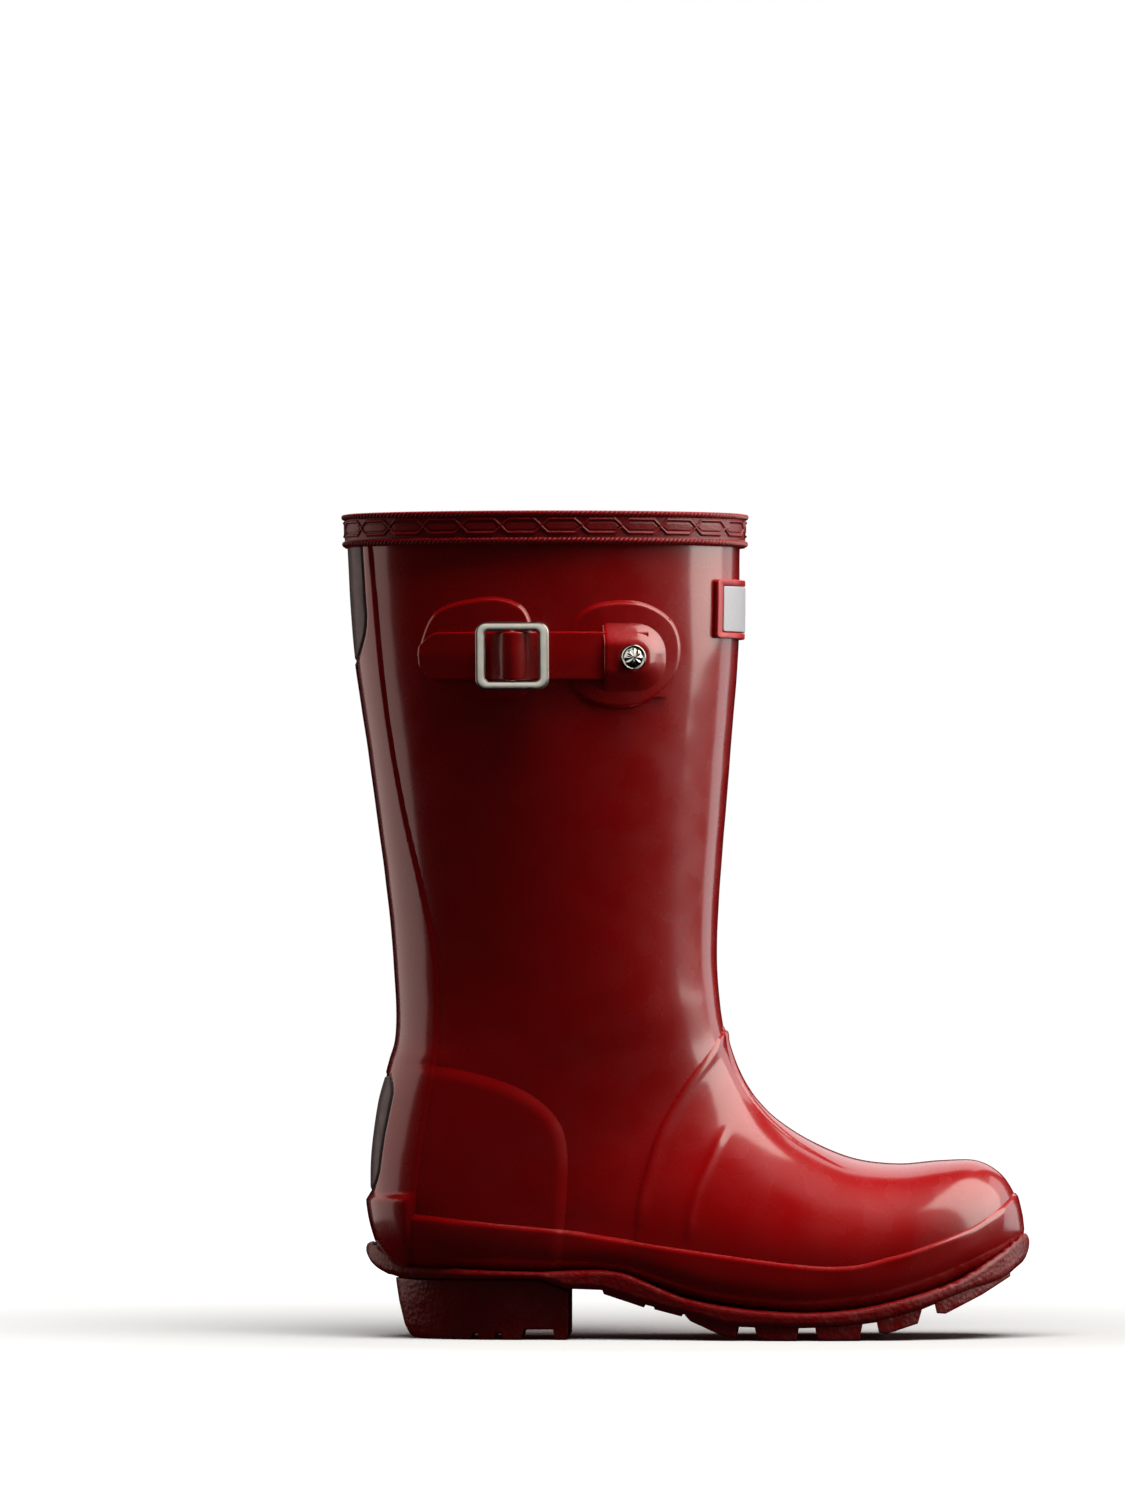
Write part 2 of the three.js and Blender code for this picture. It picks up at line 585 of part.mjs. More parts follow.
const foxingZone = (extra) =>
  sidePrism([...shifted(WELT_LINE, 0, GAP), ...shifted(FOXING_LINE, 0, extra).reverse()]);
const foxing = () => mainBody(layer(GAP, GAP + FOXING).intersect(foxingZone(0)));

// Reflectors let into the back stay, drawn in back view.
const UPPER_REFLECTOR = { width: 25, bottom: 216.3, radius: 11 };
const HEEL_REFLECTOR = { width: 24, bottom: 47.5, top: 83.8, radius: 9 };

function backPrism(width, bottom, top, radius) {
  const shape = roundedRectangle(width, top - bottom, radius);
  const geometry = new THREE.ExtrudeGeometry(shape, { depth: 80, bevelEnabled: false, curveSegments: 6 });
  geometry.rotateX(Math.PI / 2);
  geometry.rotateZ(Math.PI / 2);
  geometry.translate(-140, 0, (bottom + top) / 2);
  return solidOf(geometry);
}

const stayTop = RIM_HEIGHT - BAND_HEIGHT - GAP;
const upperReflectorZone = (extra) => {
  const { width, bottom, radius } = UPPER_REFLECTOR;
  return backPrism(width + 2 * extra, upLeg(bottom) - extra, stayTop + radius, radius + extra);
};
const heelReflectorZone = (extra) => {
  const { width, bottom, top, radius } = HEEL_REFLECTOR;
  return backPrism(width + 2 * extra, bottom - extra, top + extra, radius + extra);
};
const overlay = () => layer(GAP, GAP + OVERLAY);

// The stay runs up the heel and the back of the leg; its foot steps out over the foxing to the sole.
const STAY_FOOT = { edge: -86, top: 44 };

function backStay() {
  const top = RIM_HEIGHT + 20;
  const zone = sidePrism([[-150, 47], [-150, top], [STAY_EDGE[0][0], top], ...STAY_EDGE]);
  const strip = overlay()
    .intersect(zone)
    .intersect(belowHeight(stayTop))
    .subtract(upperReflectorZone(GAP))
    .subtract(heelReflectorZone(GAP));
  const overFoxing = GAP + FOXING + GAP;
  const footZone = sidePrism([
    ...shifted(WELT_LINE, 0, GAP).filter(([x]) => x < STAY_FOOT.edge),
    [STAY_FOOT.edge, heightOn(WELT_LINE, STAY_FOOT.edge) + GAP],
    [STAY_FOOT.edge, STAY_FOOT.top],
    [-150, STAY_FOOT.top + 3],
  ]);
  const foot = layer(GAP, overFoxing + OVERLAY).intersect(footZone);
  const foxingRoom = skin(overFoxing).intersect(foxingZone(GAP).add(belowHeight(30)));
  return mainBody(strip.add(foot.subtract(foxingRoom)));
}

const upperReflector = () => overlay().intersect(upperReflectorZone(0)).intersect(belowHeight(stayTop));
const heelReflector = () => overlay().intersect(heelReflectorZone(0));

// One counter on each side, between the stay, the foxing and its own curved front edge.
function counter(y0, y1) {
  const zone = sidePrism([...COUNTER_EDGE, [-120, 20]], y0, y1);
  const stayEdge = shifted(STAY_EDGE, GAP, 0).filter(([, z]) => z < 120);
  const behind = sidePrism([[-150, 20], [-150, 120], ...stayEdge, [-84.5, 20]]);
  const whole = overlay().intersect(zone).subtract(behind);
  return mainBody(whole.subtract(foxingZone(GAP)).subtract(belowHeight(30)));
}

// ---------------------------------------------------------------- front badge
function frontPrism(width, height) {
  const geometry = new THREE.ExtrudeGeometry(roundedRectangle(width, height, 1), {
    depth: 60,
    bevelEnabled: false,
    curveSegments: 3,
  });
  geometry.rotateX(Math.PI / 2);
  geometry.rotateZ(Math.PI / 2);
  geometry.translate(-20, 0, upLeg(BADGE_Z));
  return solidOf(geometry);
}

const BADGE_RIM = 2.0; // frame width round the label
const LABEL = 0.7;
const badgeFrame = () =>
  frontPrism(BADGE_WIDTH, BADGE_HEIGHT)
    .intersect(layer(GAP, GAP + BADGE))
    .subtract(
      frontPrism(BADGE_WIDTH - 2 * BADGE_RIM, BADGE_HEIGHT - 2 * BADGE_RIM).intersect(layer(GAP + BADGE - LABEL, 6)),
    );
const badgeLabel = () =>
  frontPrism(BADGE_WIDTH - 2 * BADGE_RIM - 2 * GAP, BADGE_HEIGHT - 2 * BADGE_RIM - 2 * GAP).intersect(
    layer(2 * GAP + BADGE - LABEL, 2 * GAP + BADGE),
  );

// ---------------------------------------------------------------- sole
// Underside of the sole sheet, heel to toe, above the cleats.
const SHEET_LINE = [
  [-115, 31], [-101.5, 26.6], [-94.5, HEEL_HEIGHT + 1.6], [-90, HEEL_HEIGHT + GAP], [-46, HEEL_HEIGHT + GAP],
  [-37.5, 16.4], [-26, 16], [-11.5, 11.2], [1.7, 8], [14, 4.6], [32, 4], [50, 4.4], [62, 6], [75, 9.6], [90, 15.6],
  [103, 22.4], [108, 26.4], [116, 33],
].map(onPattern);

// Cleat profiles in side view between x positions, each down to its own tread height.
const CLEATS = [
  [[0.5, 8], [2.2, 6.2], [12, 1.8], [16.6, 0.9], [17.4, 6]],
  [[22.2, 6], [23.4, 1.2], [26.4, 0], [35.8, 0], [36.8, 6]],
  [[41.4, 6], [42.6, 0.6], [45, 0], [55.8, 0.2], [57.2, 7]],
  [[60.9, 8], [62, 2.6], [64.6, 2.2], [74.4, 5.4], [76, 11]],
  [[79.6, 12], [80.4, 8.6], [83.2, 8.4], [94.8, 14.6], [103, 21], [101, 24]],
].map((profile) => profile.map(onPattern));

function outsole() {
  const edge = planPrism(soleOutline(WELT), -5, 60);
  const sheet = edge.intersect(sidePrism([...SHEET_LINE, ...[...WELT_LINE].reverse()]));
  const treads = planPrism(soleOutline(WELT - 1), -5, 60);
  const groove = block(-FAR, FAR, -CLEAT_GROOVE / 2, CLEAT_GROOVE / 2, -20, 60);
  const cleats = CLEATS.map((profile) => sidePrism(profile).intersect(treads).subtract(groove));
  const sole = cleats.reduce((whole, cleat) => whole.add(cleat), sheet);
  return mainBody(sole.subtract(skin(GAP)));
}

const FILLER = { back: -80, front: -50, half: 15, bottom: 8 };

function heelBlock() {
  const profile = [
    [-92.6, HEEL_HEIGHT], [-91.6, 12], [-89.8, 4.4], [-88.2, 1.2], [-85.8, 0], [-68, 0], [-67.4, 2], [-65.6, 2],
    [-65, 0], [-60.6, 0], [-60, 2], [-58.2, 2], [-57.6, 0], [-52, 0], [-51, 3.3], [-41.6, 3.3], [-41, 0], [-38, 0],
    [-36.8, 1.3], [-36.8, 15.6], [-46, HEEL_HEIGHT],
  ];
  const pocket = block(FILLER.back, FILLER.front, -FILLER.half, FILLER.half, FILLER.bottom, 60);
  return sidePrism(profile).intersect(planPrism(soleOutline(WELT - HEEL_INSET), -5, 60)).subtract(pocket);
}

const heelFiller = () =>
  block(
    FILLER.back + GAP, FILLER.front - GAP, GAP - FILLER.half, FILLER.half - GAP, FILLER.bottom + GAP, HEEL_HEIGHT,
  );

// ---------------------------------------------------------------- the boot
const boot = new THREE.Group();

function finish(color, roughness, metalness = 0) {
  return new THREE.MeshStandardMaterial({ color, roughness, metalness });
}

function add(name, shape, material) {
  const geometry = shape.isBufferGeometry ? shape : geometryOf(shape);
  const mesh = new THREE.Mesh(geometry, material);
  mesh.name = name;
  boot.add(mesh);
  return mesh;
}

const glossRubber = () => finish('#a80a0c', 0.15);
const soleRubber = () => finish('#8e0a0c', 0.45);
const knit = () => finish('#7d1416', 0.9);

add('leg_shell', legWall(), glossRubber());
add('vamp_shell', vamp(), glossRubber());
add('leg_lining', legLining(), knit());
add('foot_lining', footLining(), knit());
add('heel_stiffener', stiffener(heelCupZone), finish('#3a3632', 0.8));
add('toe_puff', stiffener(toeCapZone), finish('#3a3632', 0.8));
add('insole_board', insoleBoard(), finish('#8b7355', 0.9));
add('footbed', footbed(), finish('#2b2b2e', 0.95));
add('heel_counter_lateral', counter(-150, -1), glossRubber());
add('heel_counter_medial', counter(1, 150), glossRubber());
add('back_stay', backStay(), glossRubber());
add('upper_reflector', upperReflector(), finish('#565050', 0.6));
add('heel_reflector', heelReflector(), finish('#565050', 0.6));
add('top_band', topBand(), finish('#9c0c10', 0.3));
add('foxing', foxing(), glossRubber());
add('outsole', outsole(), soleRubber());
add('heel_block', heelBlock(), soleRubber());
add('heel_filler', heelFiller(), finish('#2a2624', 0.95));
add('rear_strap_patch', rearPatch(), glossRubber());
add('front_strap_patch', frontPatch(), glossRubber());
add('strap', strap(), glossRubber());
add('strap_tail', strapTail(), glossRubber());
add('badge_frame', badgeFrame(), finish('#c01418', 0.3));
add('badge_label', badgeLabel(), finish('#e6e6e8', 0.5));

// Metal pieces are drawn flat and set on the wall in their own frames.
const buckleMesh = add('buckle', buckle(), finish('#c8c4b8', 0.3, 1));
const buckleFrame = frameOn(buckleAt.x, buckleAt.z, BUCKLE_BASE);
buckleFrame.decompose(buckleMesh.position, buckleMesh.quaternion, buckleMesh.scale);
for (const [name, shape] of [['stud_cap', studCap()], ['stud_rivet', studRivet()]]) {
  const mesh = add(name, shape, finish('#b8b4aa', 0.2, 1));
  studFrame.decompose(mesh.position, mesh.quaternion, mesh.scale);
}

// The boot's origin is on the ground under the middle of its box.
boot.updateMatrixWorld(true);
const box = new THREE.Box3().setFromObject(boot, true);
boot.position.set(-(box.min.x + box.max.x) / 2, -(box.min.y + box.max.y) / 2, -box.min.z);

export default boot;
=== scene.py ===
"""A child's glossy rubber rain boot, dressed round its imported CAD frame.

The wall, overlays, sole, strap and fittings are rebuilt as fine surfaces over the same last as the
CAD pieces they stand for. Lengths are millimetres of the boot's pattern until a mesh is made.
"""
import math

import bpy
import numpy as np
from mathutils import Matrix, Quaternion, Vector


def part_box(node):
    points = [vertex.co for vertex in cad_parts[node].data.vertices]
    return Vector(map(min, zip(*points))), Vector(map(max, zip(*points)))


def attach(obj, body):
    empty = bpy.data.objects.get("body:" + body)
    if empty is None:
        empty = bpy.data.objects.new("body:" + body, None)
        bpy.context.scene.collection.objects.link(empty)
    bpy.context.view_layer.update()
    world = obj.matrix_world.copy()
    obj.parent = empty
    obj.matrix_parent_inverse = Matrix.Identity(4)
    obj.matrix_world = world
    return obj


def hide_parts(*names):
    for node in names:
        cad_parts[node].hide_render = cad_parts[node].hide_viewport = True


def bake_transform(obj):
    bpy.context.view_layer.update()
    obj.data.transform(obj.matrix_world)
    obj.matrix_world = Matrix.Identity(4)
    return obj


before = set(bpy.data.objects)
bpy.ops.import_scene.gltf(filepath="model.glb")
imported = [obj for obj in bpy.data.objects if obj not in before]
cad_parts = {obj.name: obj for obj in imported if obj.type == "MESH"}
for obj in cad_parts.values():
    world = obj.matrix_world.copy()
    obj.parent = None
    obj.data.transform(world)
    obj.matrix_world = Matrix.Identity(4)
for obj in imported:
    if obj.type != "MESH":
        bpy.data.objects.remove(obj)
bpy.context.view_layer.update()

# ---------------------------------------------------------------- sizes
MM = 0.001
GAP = 0.3  # clearance between neighbouring layers
RIM = 263.4  # ground to the top edge
WALL = 2.4
LINING = 1.2
OVERLAY = 0.8
FOXING = 1.2
WELT = 2.2  # how far the sole edge stands out
HEEL_HEIGHT = 19.2
BAND_HEIGHT = 10.8
BAND = 1.3
STRAP_WIDTH = 15.3
STRAP = 1.4
PATCH = 1.2
STRAP_BASE = 2.0  # underside of the strap above the wall
BUCKLE_BASE = 4.3
DOME_UNDERSIDE = 3.9
CAP_BASE = 5.55
BUCKLE_AT = (-53.5, 217.4)
STUD_AT = (-17.6, 216.9)
BUCKLE_LENGTH = 23.5
BUCKLE_HEIGHT = 21.4
BUCKLE_BAR = 3.3
BUCKLE_THICKNESS = 2.2
BAR_RADIUS = 0.8
TAIL_HINGE_X = -67.45
BADGE_Z = 232.8

# The heel filler is a plain block centred on the pattern's own line, so it says where the pattern lies.
HEEL_FILLER_X = -65
filler_low, filler_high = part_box("heel_filler")
PATTERN_ORIGIN = np.array([
    (filler_low.x + filler_high.x) / 2 - HEEL_FILLER_X * MM, (filler_low.y + filler_high.y) / 2, 0
])

# ---------------------------------------------------------------- the last
# front x, z, back x, z, lateral, medial, swing, low, square of each section, rim to toe.
LAST = np.array([
    [18, 275, -107.9, 275, 41, 41, 0, 0, 2],
    [17.5, 250, -107.2, 250, 41, 41, 0, 0, 2],
    [17.1, 220, -105.1, 220, 40.3, 40.3, 0, 0, 2],
    [14.4, 185, -100, 185, 38.5, 38.5, 0, 0, 2],
    [11.2, 147, -94.8, 147, 36, 36, 0, 0, 2],
    [10.2, 122, -92.2, 119, 34.5, 34.5, 0, 0, 2],
    [11.2, 107, -91.8, 96, 33.5, 33.5, 0, 0.05, 2.1],
    [12.8, 96.7, -97.2, 75, 32.5, 32.5, 0, 0.1, 2.2],
    [14.2, 92, -99.5, 54, 32, 31.5, 0, 0.15, 2.5],
    [15.5, 88.3, -97.9, 36, 31.5, 31, 0, 0.2, 3],
    [16.9, 85, -91, 24.2, 31, 30, 0, 0.25, 3.5],
    [19.2, 80.6, -74, 21.6, 30.5, 29, 0, 0.3, 4],
    [22.8, 75.4, -50, 21, 30.5, 27.5, 0, 0.35, 4.4],
    [28.8, 69.4, -22, 19.6, 32.5, 28, 0, 0.4, 4.4],
    [39.2, 62.8, 6, 11.4, 36, 33, 0.4, 0.4, 4.4],
    [53.8, 57.2, 32, 8.3, 38, 37, 1, 0.4, 4.4],
    [68, 55.4, 56, 9.4, 36, 38, 2, 0.4, 4],
    [82, 56.4, 76, 14.3, 31, 35.5, 3, 0.35, 3.6],
    [93, 56.4, 90, 19.7, 24, 30, 4, 0.3, 3.2],
    [100.5, 52.5, 99, 24.4, 16.5, 23.5, 5, 0.25, 2.8],
    [105, 46, 104, 28.1, 9, 15, 6, 0.2, 2.4],
    [107, 38.5, 106.9, 31.6, 3.5, 5.5, 6.5, 0.1, 2],
])
TOE_TIP = np.array([107.4, 6.6, 34.6])
HEEL_CENTRE_X = -52


def curve(points, pieces=8):
    """Smooth line through points."""
    points = np.array(points, float)
    padded = np.vstack([2 * points[0] - points[1], points, 2 * points[-1] - points[-2]])
    at = np.linspace(0, len(points) - 1, (len(points) - 1) * pieces + 1)
    i = np.minimum(at.astype(int), len(points) - 2)
    return spline(padded[i], padded[i + 1], padded[i + 2], padded[i + 3], (at - i)[:, None])


def spline(p0, p1, p2, p3, t):
    """Catmull-Rom value between p1 and p2."""
    v0, v1 = (p2 - p0) / 2, (p3 - p1) / 2
    return (2 * p1 - 2 * p2 + v0 + v1) * t**3 + (-3 * p1 + 3 * p2 - 2 * v0 - v1) * t**2 + v0 * t + p1


def section(position):
    """Rows of the last at positions between 0 and the toe."""
    position = np.asarray(position, float)
    i = np.minimum(np.floor(position).astype(int), len(LAST) - 2)
    rows = [LAST[np.clip(i + k, 0, len(LAST) - 1)] for k in (-1, 0, 1, 2)]
    return spline(*rows, (position - i)[..., None])


def on_last(position, turn):
    """Points of the lasted surface; turn 0 is the front, a quarter turn the lateral side."""
    fx, fz, bx, bz, lateral, medial, swing, low, square = np.moveaxis(section(position), -1, 0)
    c, s = np.cos(2 * np.pi * turn), np.sin(2 * np.pi * turn)
    power = np.where(c >= 0, 1, 2 / square)
    u = -low + np.sign(c) * np.where(c >= 0, 1 + low, 1 - low) * np.abs(c) ** power
    y = swing + np.where(s >= 0, -lateral, medial) * np.abs(s) ** power
    return np.stack([(fx + bx) / 2 + (fx - bx) / 2 * u, y, (fz + bz) / 2 + (fz - bz) / 2 * u], -1)


def spaced_rows(step, first=0.0, end=21.0):
    """Positions along the last no more than a step apart anywhere on the surface."""
    at = np.linspace(first, end, 2000)
    rails = on_last(at[:, None], np.array([0.0, 0.125, 0.25, 0.375, 0.5]))
    lengths = np.linalg.norm(np.diff(rails, axis=0), axis=-1).max(1)
    along = np.concatenate([[0], np.cumsum(lengths)])
    return np.interp(np.linspace(0, along[-1], int(along[-1] / step) + 1), along, at)


def grid_steps(field):
    """Steps of a field along the last and round it, on a grid whose last column meets its first."""
    return np.gradient(field, axis=0), (np.roll(field, -1, 1) - np.roll(field, 1, 1)) / 2


def last_grid(step, columns, first=0.0):
    """Grid of points and outward normals over the last, even round each half of every section."""
    rows = spaced_rows(step, first)
    half = columns // 2
    fine = np.linspace(0, 0.5, 900)
    halves = []
    for turns in (fine, 0.5 + fine):
        ring = on_last(rows[:, None], turns)
        lengths = np.linalg.norm(np.diff(ring, axis=1), axis=-1)
        along = np.concatenate([np.zeros((len(rows), 1)), np.cumsum(lengths, 1)], 1)
        wanted = along[:, -1:] * np.linspace(0, 1, half, endpoint=False)
        points = np.empty((len(rows), half, 3))
        for i in range(len(rows)):
            for axis in range(3):
                points[i, :, axis] = np.interp(wanted[i], along[i], ring[i, :, axis])
        halves.append(points)
    points = np.concatenate(halves, 1)
    closing = [points[-1] + (TOE_TIP - points[-1]) * k for k in (0.35, 0.7, 0.97)]
    points = np.concatenate([points, np.array(closing)], 0)
    along, around = grid_steps(points)
    normals = np.cross(around, along)
    normals /= np.linalg.norm(normals, axis=-1, keepdims=True)
    normals[-3:] = normals[-3:] * 0.2 + np.array([0.8, 0, 0])
    normals /= np.linalg.norm(normals, axis=-1, keepdims=True)
    return points, normals


def place_at_height(z):
    """Position along the last at which the leg's section reaches a height."""
    positions = np.linspace(0, 5, 1001)
    return np.interp(z, section(positions)[::-1, 1], positions[::-1])


def on_leg(x, z, height=0.0, side=-1):
    """Points standing a height off the leg's lateral (-1) or medial (1) side, at places in side view."""
    x, z, height = np.broadcast_arrays(np.asarray(x, float), np.asarray(z, float), height)

    def wall(x, z):
        """Points of the bare wall."""
        row = section(place_at_height(z))
        middle, reach = (row[..., 0] + row[..., 2]) / 2, (row[..., 0] - row[..., 2]) / 2
        u = np.clip((x - middle) / reach, -1, 1)
        return np.stack([x, side * row[..., 4] * np.sqrt(1 - u**2), z], -1)

    here = wall(x, z)
    forward = wall(x + 0.05, z) - wall(x - 0.05, z)
    up = wall(x, z + 0.05) - wall(x, z - 0.05)
    normal = np.cross(forward, up) * -side
    normal /= np.linalg.norm(normal, axis=-1, keepdims=True)
    return here + normal * height[..., None]


def ripple(points, length, seed):
    """Even, smooth unevenness of about one wavelength, between -1 and 1."""
    random = np.random.default_rng(seed)
    total = 0
    for _ in range(7):
        direction = random.normal(size=3)
        direction *= 2 * np.pi / (length * np.linalg.norm(direction) * random.uniform(0.7, 1.4))
        total = total + np.sin(points @ direction + random.uniform(0, 2 * np.pi))
    return total / 7 * 1.6


# ---------------------------------------------------------------- distances and edges
def beside(line, x, z):
    """Signed distance to a line, positive on the left of its direction."""
    best, side = np.full(x.shape, 1e9), np.zeros(x.shape)
    for (ax, az), (bx, bz) in zip(line[:-1], line[1:]):
        dx, dz = bx - ax, bz - az
        t = np.clip(((x - ax) * dx + (z - az) * dz) / (dx * dx + dz * dz), 0, 1)
        away = np.hypot(x - ax - t * dx, z - az - t * dz)
        closer = away < best - 1e-9
        best = np.where(closer, away, best)
        side = np.where(closer, dx * (z - az) - dz * (x - ax), side)
    return np.where(side >= 0, best, -best)


def in_rounded_box(a, b, half_a, half_b, radius):
    """Distance inside a rounded rectangle, negative outside."""
    qa, qb = np.abs(a) - half_a + radius, np.abs(b) - half_b + radius
    outside = np.hypot(np.maximum(qa, 0), np.maximum(qb, 0))
    return radius - outside - np.minimum(np.maximum(qa, qb), 0)


def ease(t):
    """Smooth rise from 0 to 1."""
    t = np.clip(t, 0, 1)
    return t * t * (3 - 2 * t)


def lip(distance, width, height, sunk=0.25):
    """Height of a sheet laid on the wall: a rounded shoulder inside its edge, sinking outside it."""
    t = np.clip(distance / width, 0, 1)
    outside = np.maximum(distance * height / width * math.pi / 2, -sunk)
    return np.where(distance > 0, height * np.sin(t * math.pi / 2), outside)


# ---------------------------------------------------------------- making meshes
def piece(name, points, faces, material, body="boot", slot=None, smooth=True):
    """A mesh of the boot from pattern points and faces, riding on its body."""
    mesh = bpy.data.meshes.new(name)
    mesh.from_pydata((np.asarray(points).reshape(-1, 3) * MM + PATTERN_ORIGIN).tolist(), [], faces)
    mesh.validate()
    mesh.polygons.foreach_set("use_smooth", [smooth] * len(mesh.polygons))
    mesh.materials.append(material)
    made = bpy.data.objects.new(name, mesh)
    bpy.context.scene.collection.objects.link(made)
    if body:
        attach(made, body)
    return made


def apply_modifier(made, kind, **settings):
    """Adds a modifier with its settings and bakes its result into the mesh."""
    modifier = made.modifiers.new(kind.lower(), kind)
    for name, value in settings.items():
        setattr(modifier, name, value)
    evaluated = made.evaluated_get(bpy.context.evaluated_depsgraph_get())
    mesh = bpy.data.meshes.new_from_object(evaluated)
    made.modifiers.clear()
    made.data = mesh
    return made


def thickened(made, thickness):
    """Gives a sheet its thickness, inwards from its outer face."""
    return apply_modifier(
        made, "SOLIDIFY", thickness=thickness * MM, offset=-1, use_even_offset=False,
        use_quality_normals=False,
    )


def quads(rows, columns, keep=None, around=False, flip=False):
    """Faces of a grid; keep is a flag for each cell, and around joins the last column to the first."""
    index = np.arange(rows * columns).reshape(rows, columns)
    right = np.roll(index, -1, 1) if around else index[:, 1:]
    left = index if around else index[:, :-1]
    faces = np.stack([left[:-1], right[:-1], right[1:], left[1:]], -1)
    if keep is not None:
        faces = faces[keep]
    faces = faces.reshape(-1, 4)
    return (faces[:, ::-1] if flip else faces).tolist()


def end_faces(rows, columns):
    """Faces that close the first and the last ring of a grid."""
    last = (rows - 1) * columns
    return [list(range(columns))[::-1], list(range(last, last + columns))]


def used_only(points, faces):
    """Drops the points that no face uses."""
    faces = np.array(faces)
    used, places = np.unique(faces, return_inverse=True)
    return points.reshape(-1, 3)[used], places.reshape(faces.shape).tolist()


def joined(parts):
    """Points and faces of several parts as one."""
    points, faces, count = [], [], 0
    for part_points, part_faces in parts:
        part_points = np.asarray(part_points).reshape(-1, 3)
        points.append(part_points)
        faces += [[i + count for i in face] for face in part_faces]
        count += len(part_points)
    return np.concatenate(points), faces


def sheet(name, shown, height, material, thickness, slot):
    """A rubber sheet on the last: the cells where shown is above zero, at a height over the wall."""
    cell = shown > 0
    following = np.roll(cell, -1, 1)
    keep = (cell | following)[:-1] | (cell | following)[1:]
    points = LAST_POINTS + LAST_NORMALS * height[..., None]
    points, faces = used_only(points, quads(*shown.shape, keep=keep, around=True))
    made = piece(name, points, faces, material, slot=slot)
    return thickened(made, thickness)


# ---------------------------------------------------------------- finishes
def linear(code, alpha=1.0):
    """Linear colour of an sRGB hex code."""
    channels = [int(code[i:i + 2], 16) / 255 for i in (1, 3, 5)]
    return [c / 12.92 if c <= 0.04045 else ((c + 0.055) / 1.055) ** 2.4 for c in channels] + [alpha]


def add_node(tree, kind, links=None, **settings):
    """Adds a shader node; settings are its options and input values, links join its inputs to outputs."""
    node = tree.nodes.new("ShaderNode" + kind)
    for name, value in settings.items():
        if name in node.bl_rna.properties:
            setattr(node, name, value)
        else:
            node.inputs[name.replace("_", " ")].default_value = value
    for place, (source, output) in (links or {}).items():
        tree.links.new(source.outputs[output], node.inputs[place])
    return node


def new_material(name, **constants):
    """A material and what its finish is built on: tree, principled shader and object coordinates."""
    material = bpy.data.materials.new(name)
    material.use_nodes = True
    tree = material.node_tree
    shader = tree.nodes["Principled BSDF"]
    for socket, value in constants.items():
        shader.inputs[socket.replace("_", " ")].default_value = value
    return material, (tree, shader, add_node(tree, "TexCoord"))


def patchy(base, size, detail=4.0):
    """Noise between 0 and 1 in patches of a size in millimetres."""
    tree, _, place = base
    return add_node(tree, "TexNoise", {"Vector": (place, "Object")}, Scale=1 / (size * MM), Detail=detail)


def mottled(base, size, dark, light, detail=3.0):
    """Base colour that wanders between two hex codes over patches of a size in millimetres."""
    tree, shader, _ = base
    noise = patchy(base, size, detail)
    colour = add_node(tree, "MixRGB", {"Fac": (noise, "Fac")}, Color1=linear(dark), Color2=linear(light))
    tree.links.new(colour.outputs["Color"], shader.inputs["Base Color"])


def uneven_gloss(base, size, low, high):
    """Roughness that wanders between two limits over patches of a size in millimetres."""
    tree, shader, _ = base
    noise = patchy(base, size)
    roughness = add_node(
        tree, "MapRange", {"Value": (noise, "Fac")}, From_Min=0.3, From_Max=0.7, To_Min=low, To_Max=high
    )
    tree.links.new(roughness.outputs["Result"], shader.inputs["Roughness"])


def grained(base, size, depth, kind="TexNoise", output="Fac", under=None):
    """Surface grain of a size and depth in millimetres, laid over the grain under it."""
    tree, shader, place = base
    texture = add_node(tree, kind, {"Vector": (place, "Object")}, Scale=1 / (size * MM))
    bump = add_node(tree, "Bump", {"Height": (texture, output)}, Strength=1.0, Distance=depth * MM)
    if under:
        tree.links.new(under.outputs["Normal"], bump.inputs["Normal"])
    tree.links.new(bump.outputs["Normal"], shader.inputs["Normal"])
    return bump


def gloss_rubber():
    """Natural rubber dipped in clear gloss lacquer: deep red, wet-looking, faintly orange-peeled."""
    material, base = new_material(
        "lacquered natural rubber", IOR=1.5, Coat_Weight=1.0, Coat_Roughness=0.12, Coat_IOR=1.65
    )
    mottled(base, 34, "#9A0205", "#AC0407")
    uneven_gloss(base, 12, 0.22, 0.32)
    peel = grained(base, 2.6, 0.012)
    grained(base, 0.7, 0.005, under=peel)
    return material


def band_rubber():
    """Pressed rubber strip with a fine stippled face: satin, a little browner than the wall."""
    material, base = new_material(
        "pressed band rubber", IOR=1.5, Coat_Weight=0.15, Coat_Roughness=0.25, Coat_IOR=1.5
    )
    mottled(base, 5, "#7C050A", "#920A0E")
    uneven_gloss(base, 2, 0.28, 0.42)
    # stipple is about 0.4 mm in the mould and drawn at 0.7 mm so that it shows
    grained(base, 0.7, 0.06, kind="TexVoronoi", output="Distance")
    return material


def sole_rubber():
    """Moulded sole rubber from a spark-eroded mould: pebbled and semi-gloss, darker than the wall."""
    material, base = new_material(
        "moulded sole rubber", IOR=1.5, Coat_Weight=0.2, Coat_Roughness=0.2, Coat_IOR=1.5
    )
    mottled(base, 16, "#780306", "#8C0508")
    uneven_gloss(base, 4, 0.24, 0.46)
    pebble = grained(base, 1.5, 0.14, kind="TexVoronoi", output="Distance")
    grained(base, 0.4, 0.015, under=pebble)
    return material


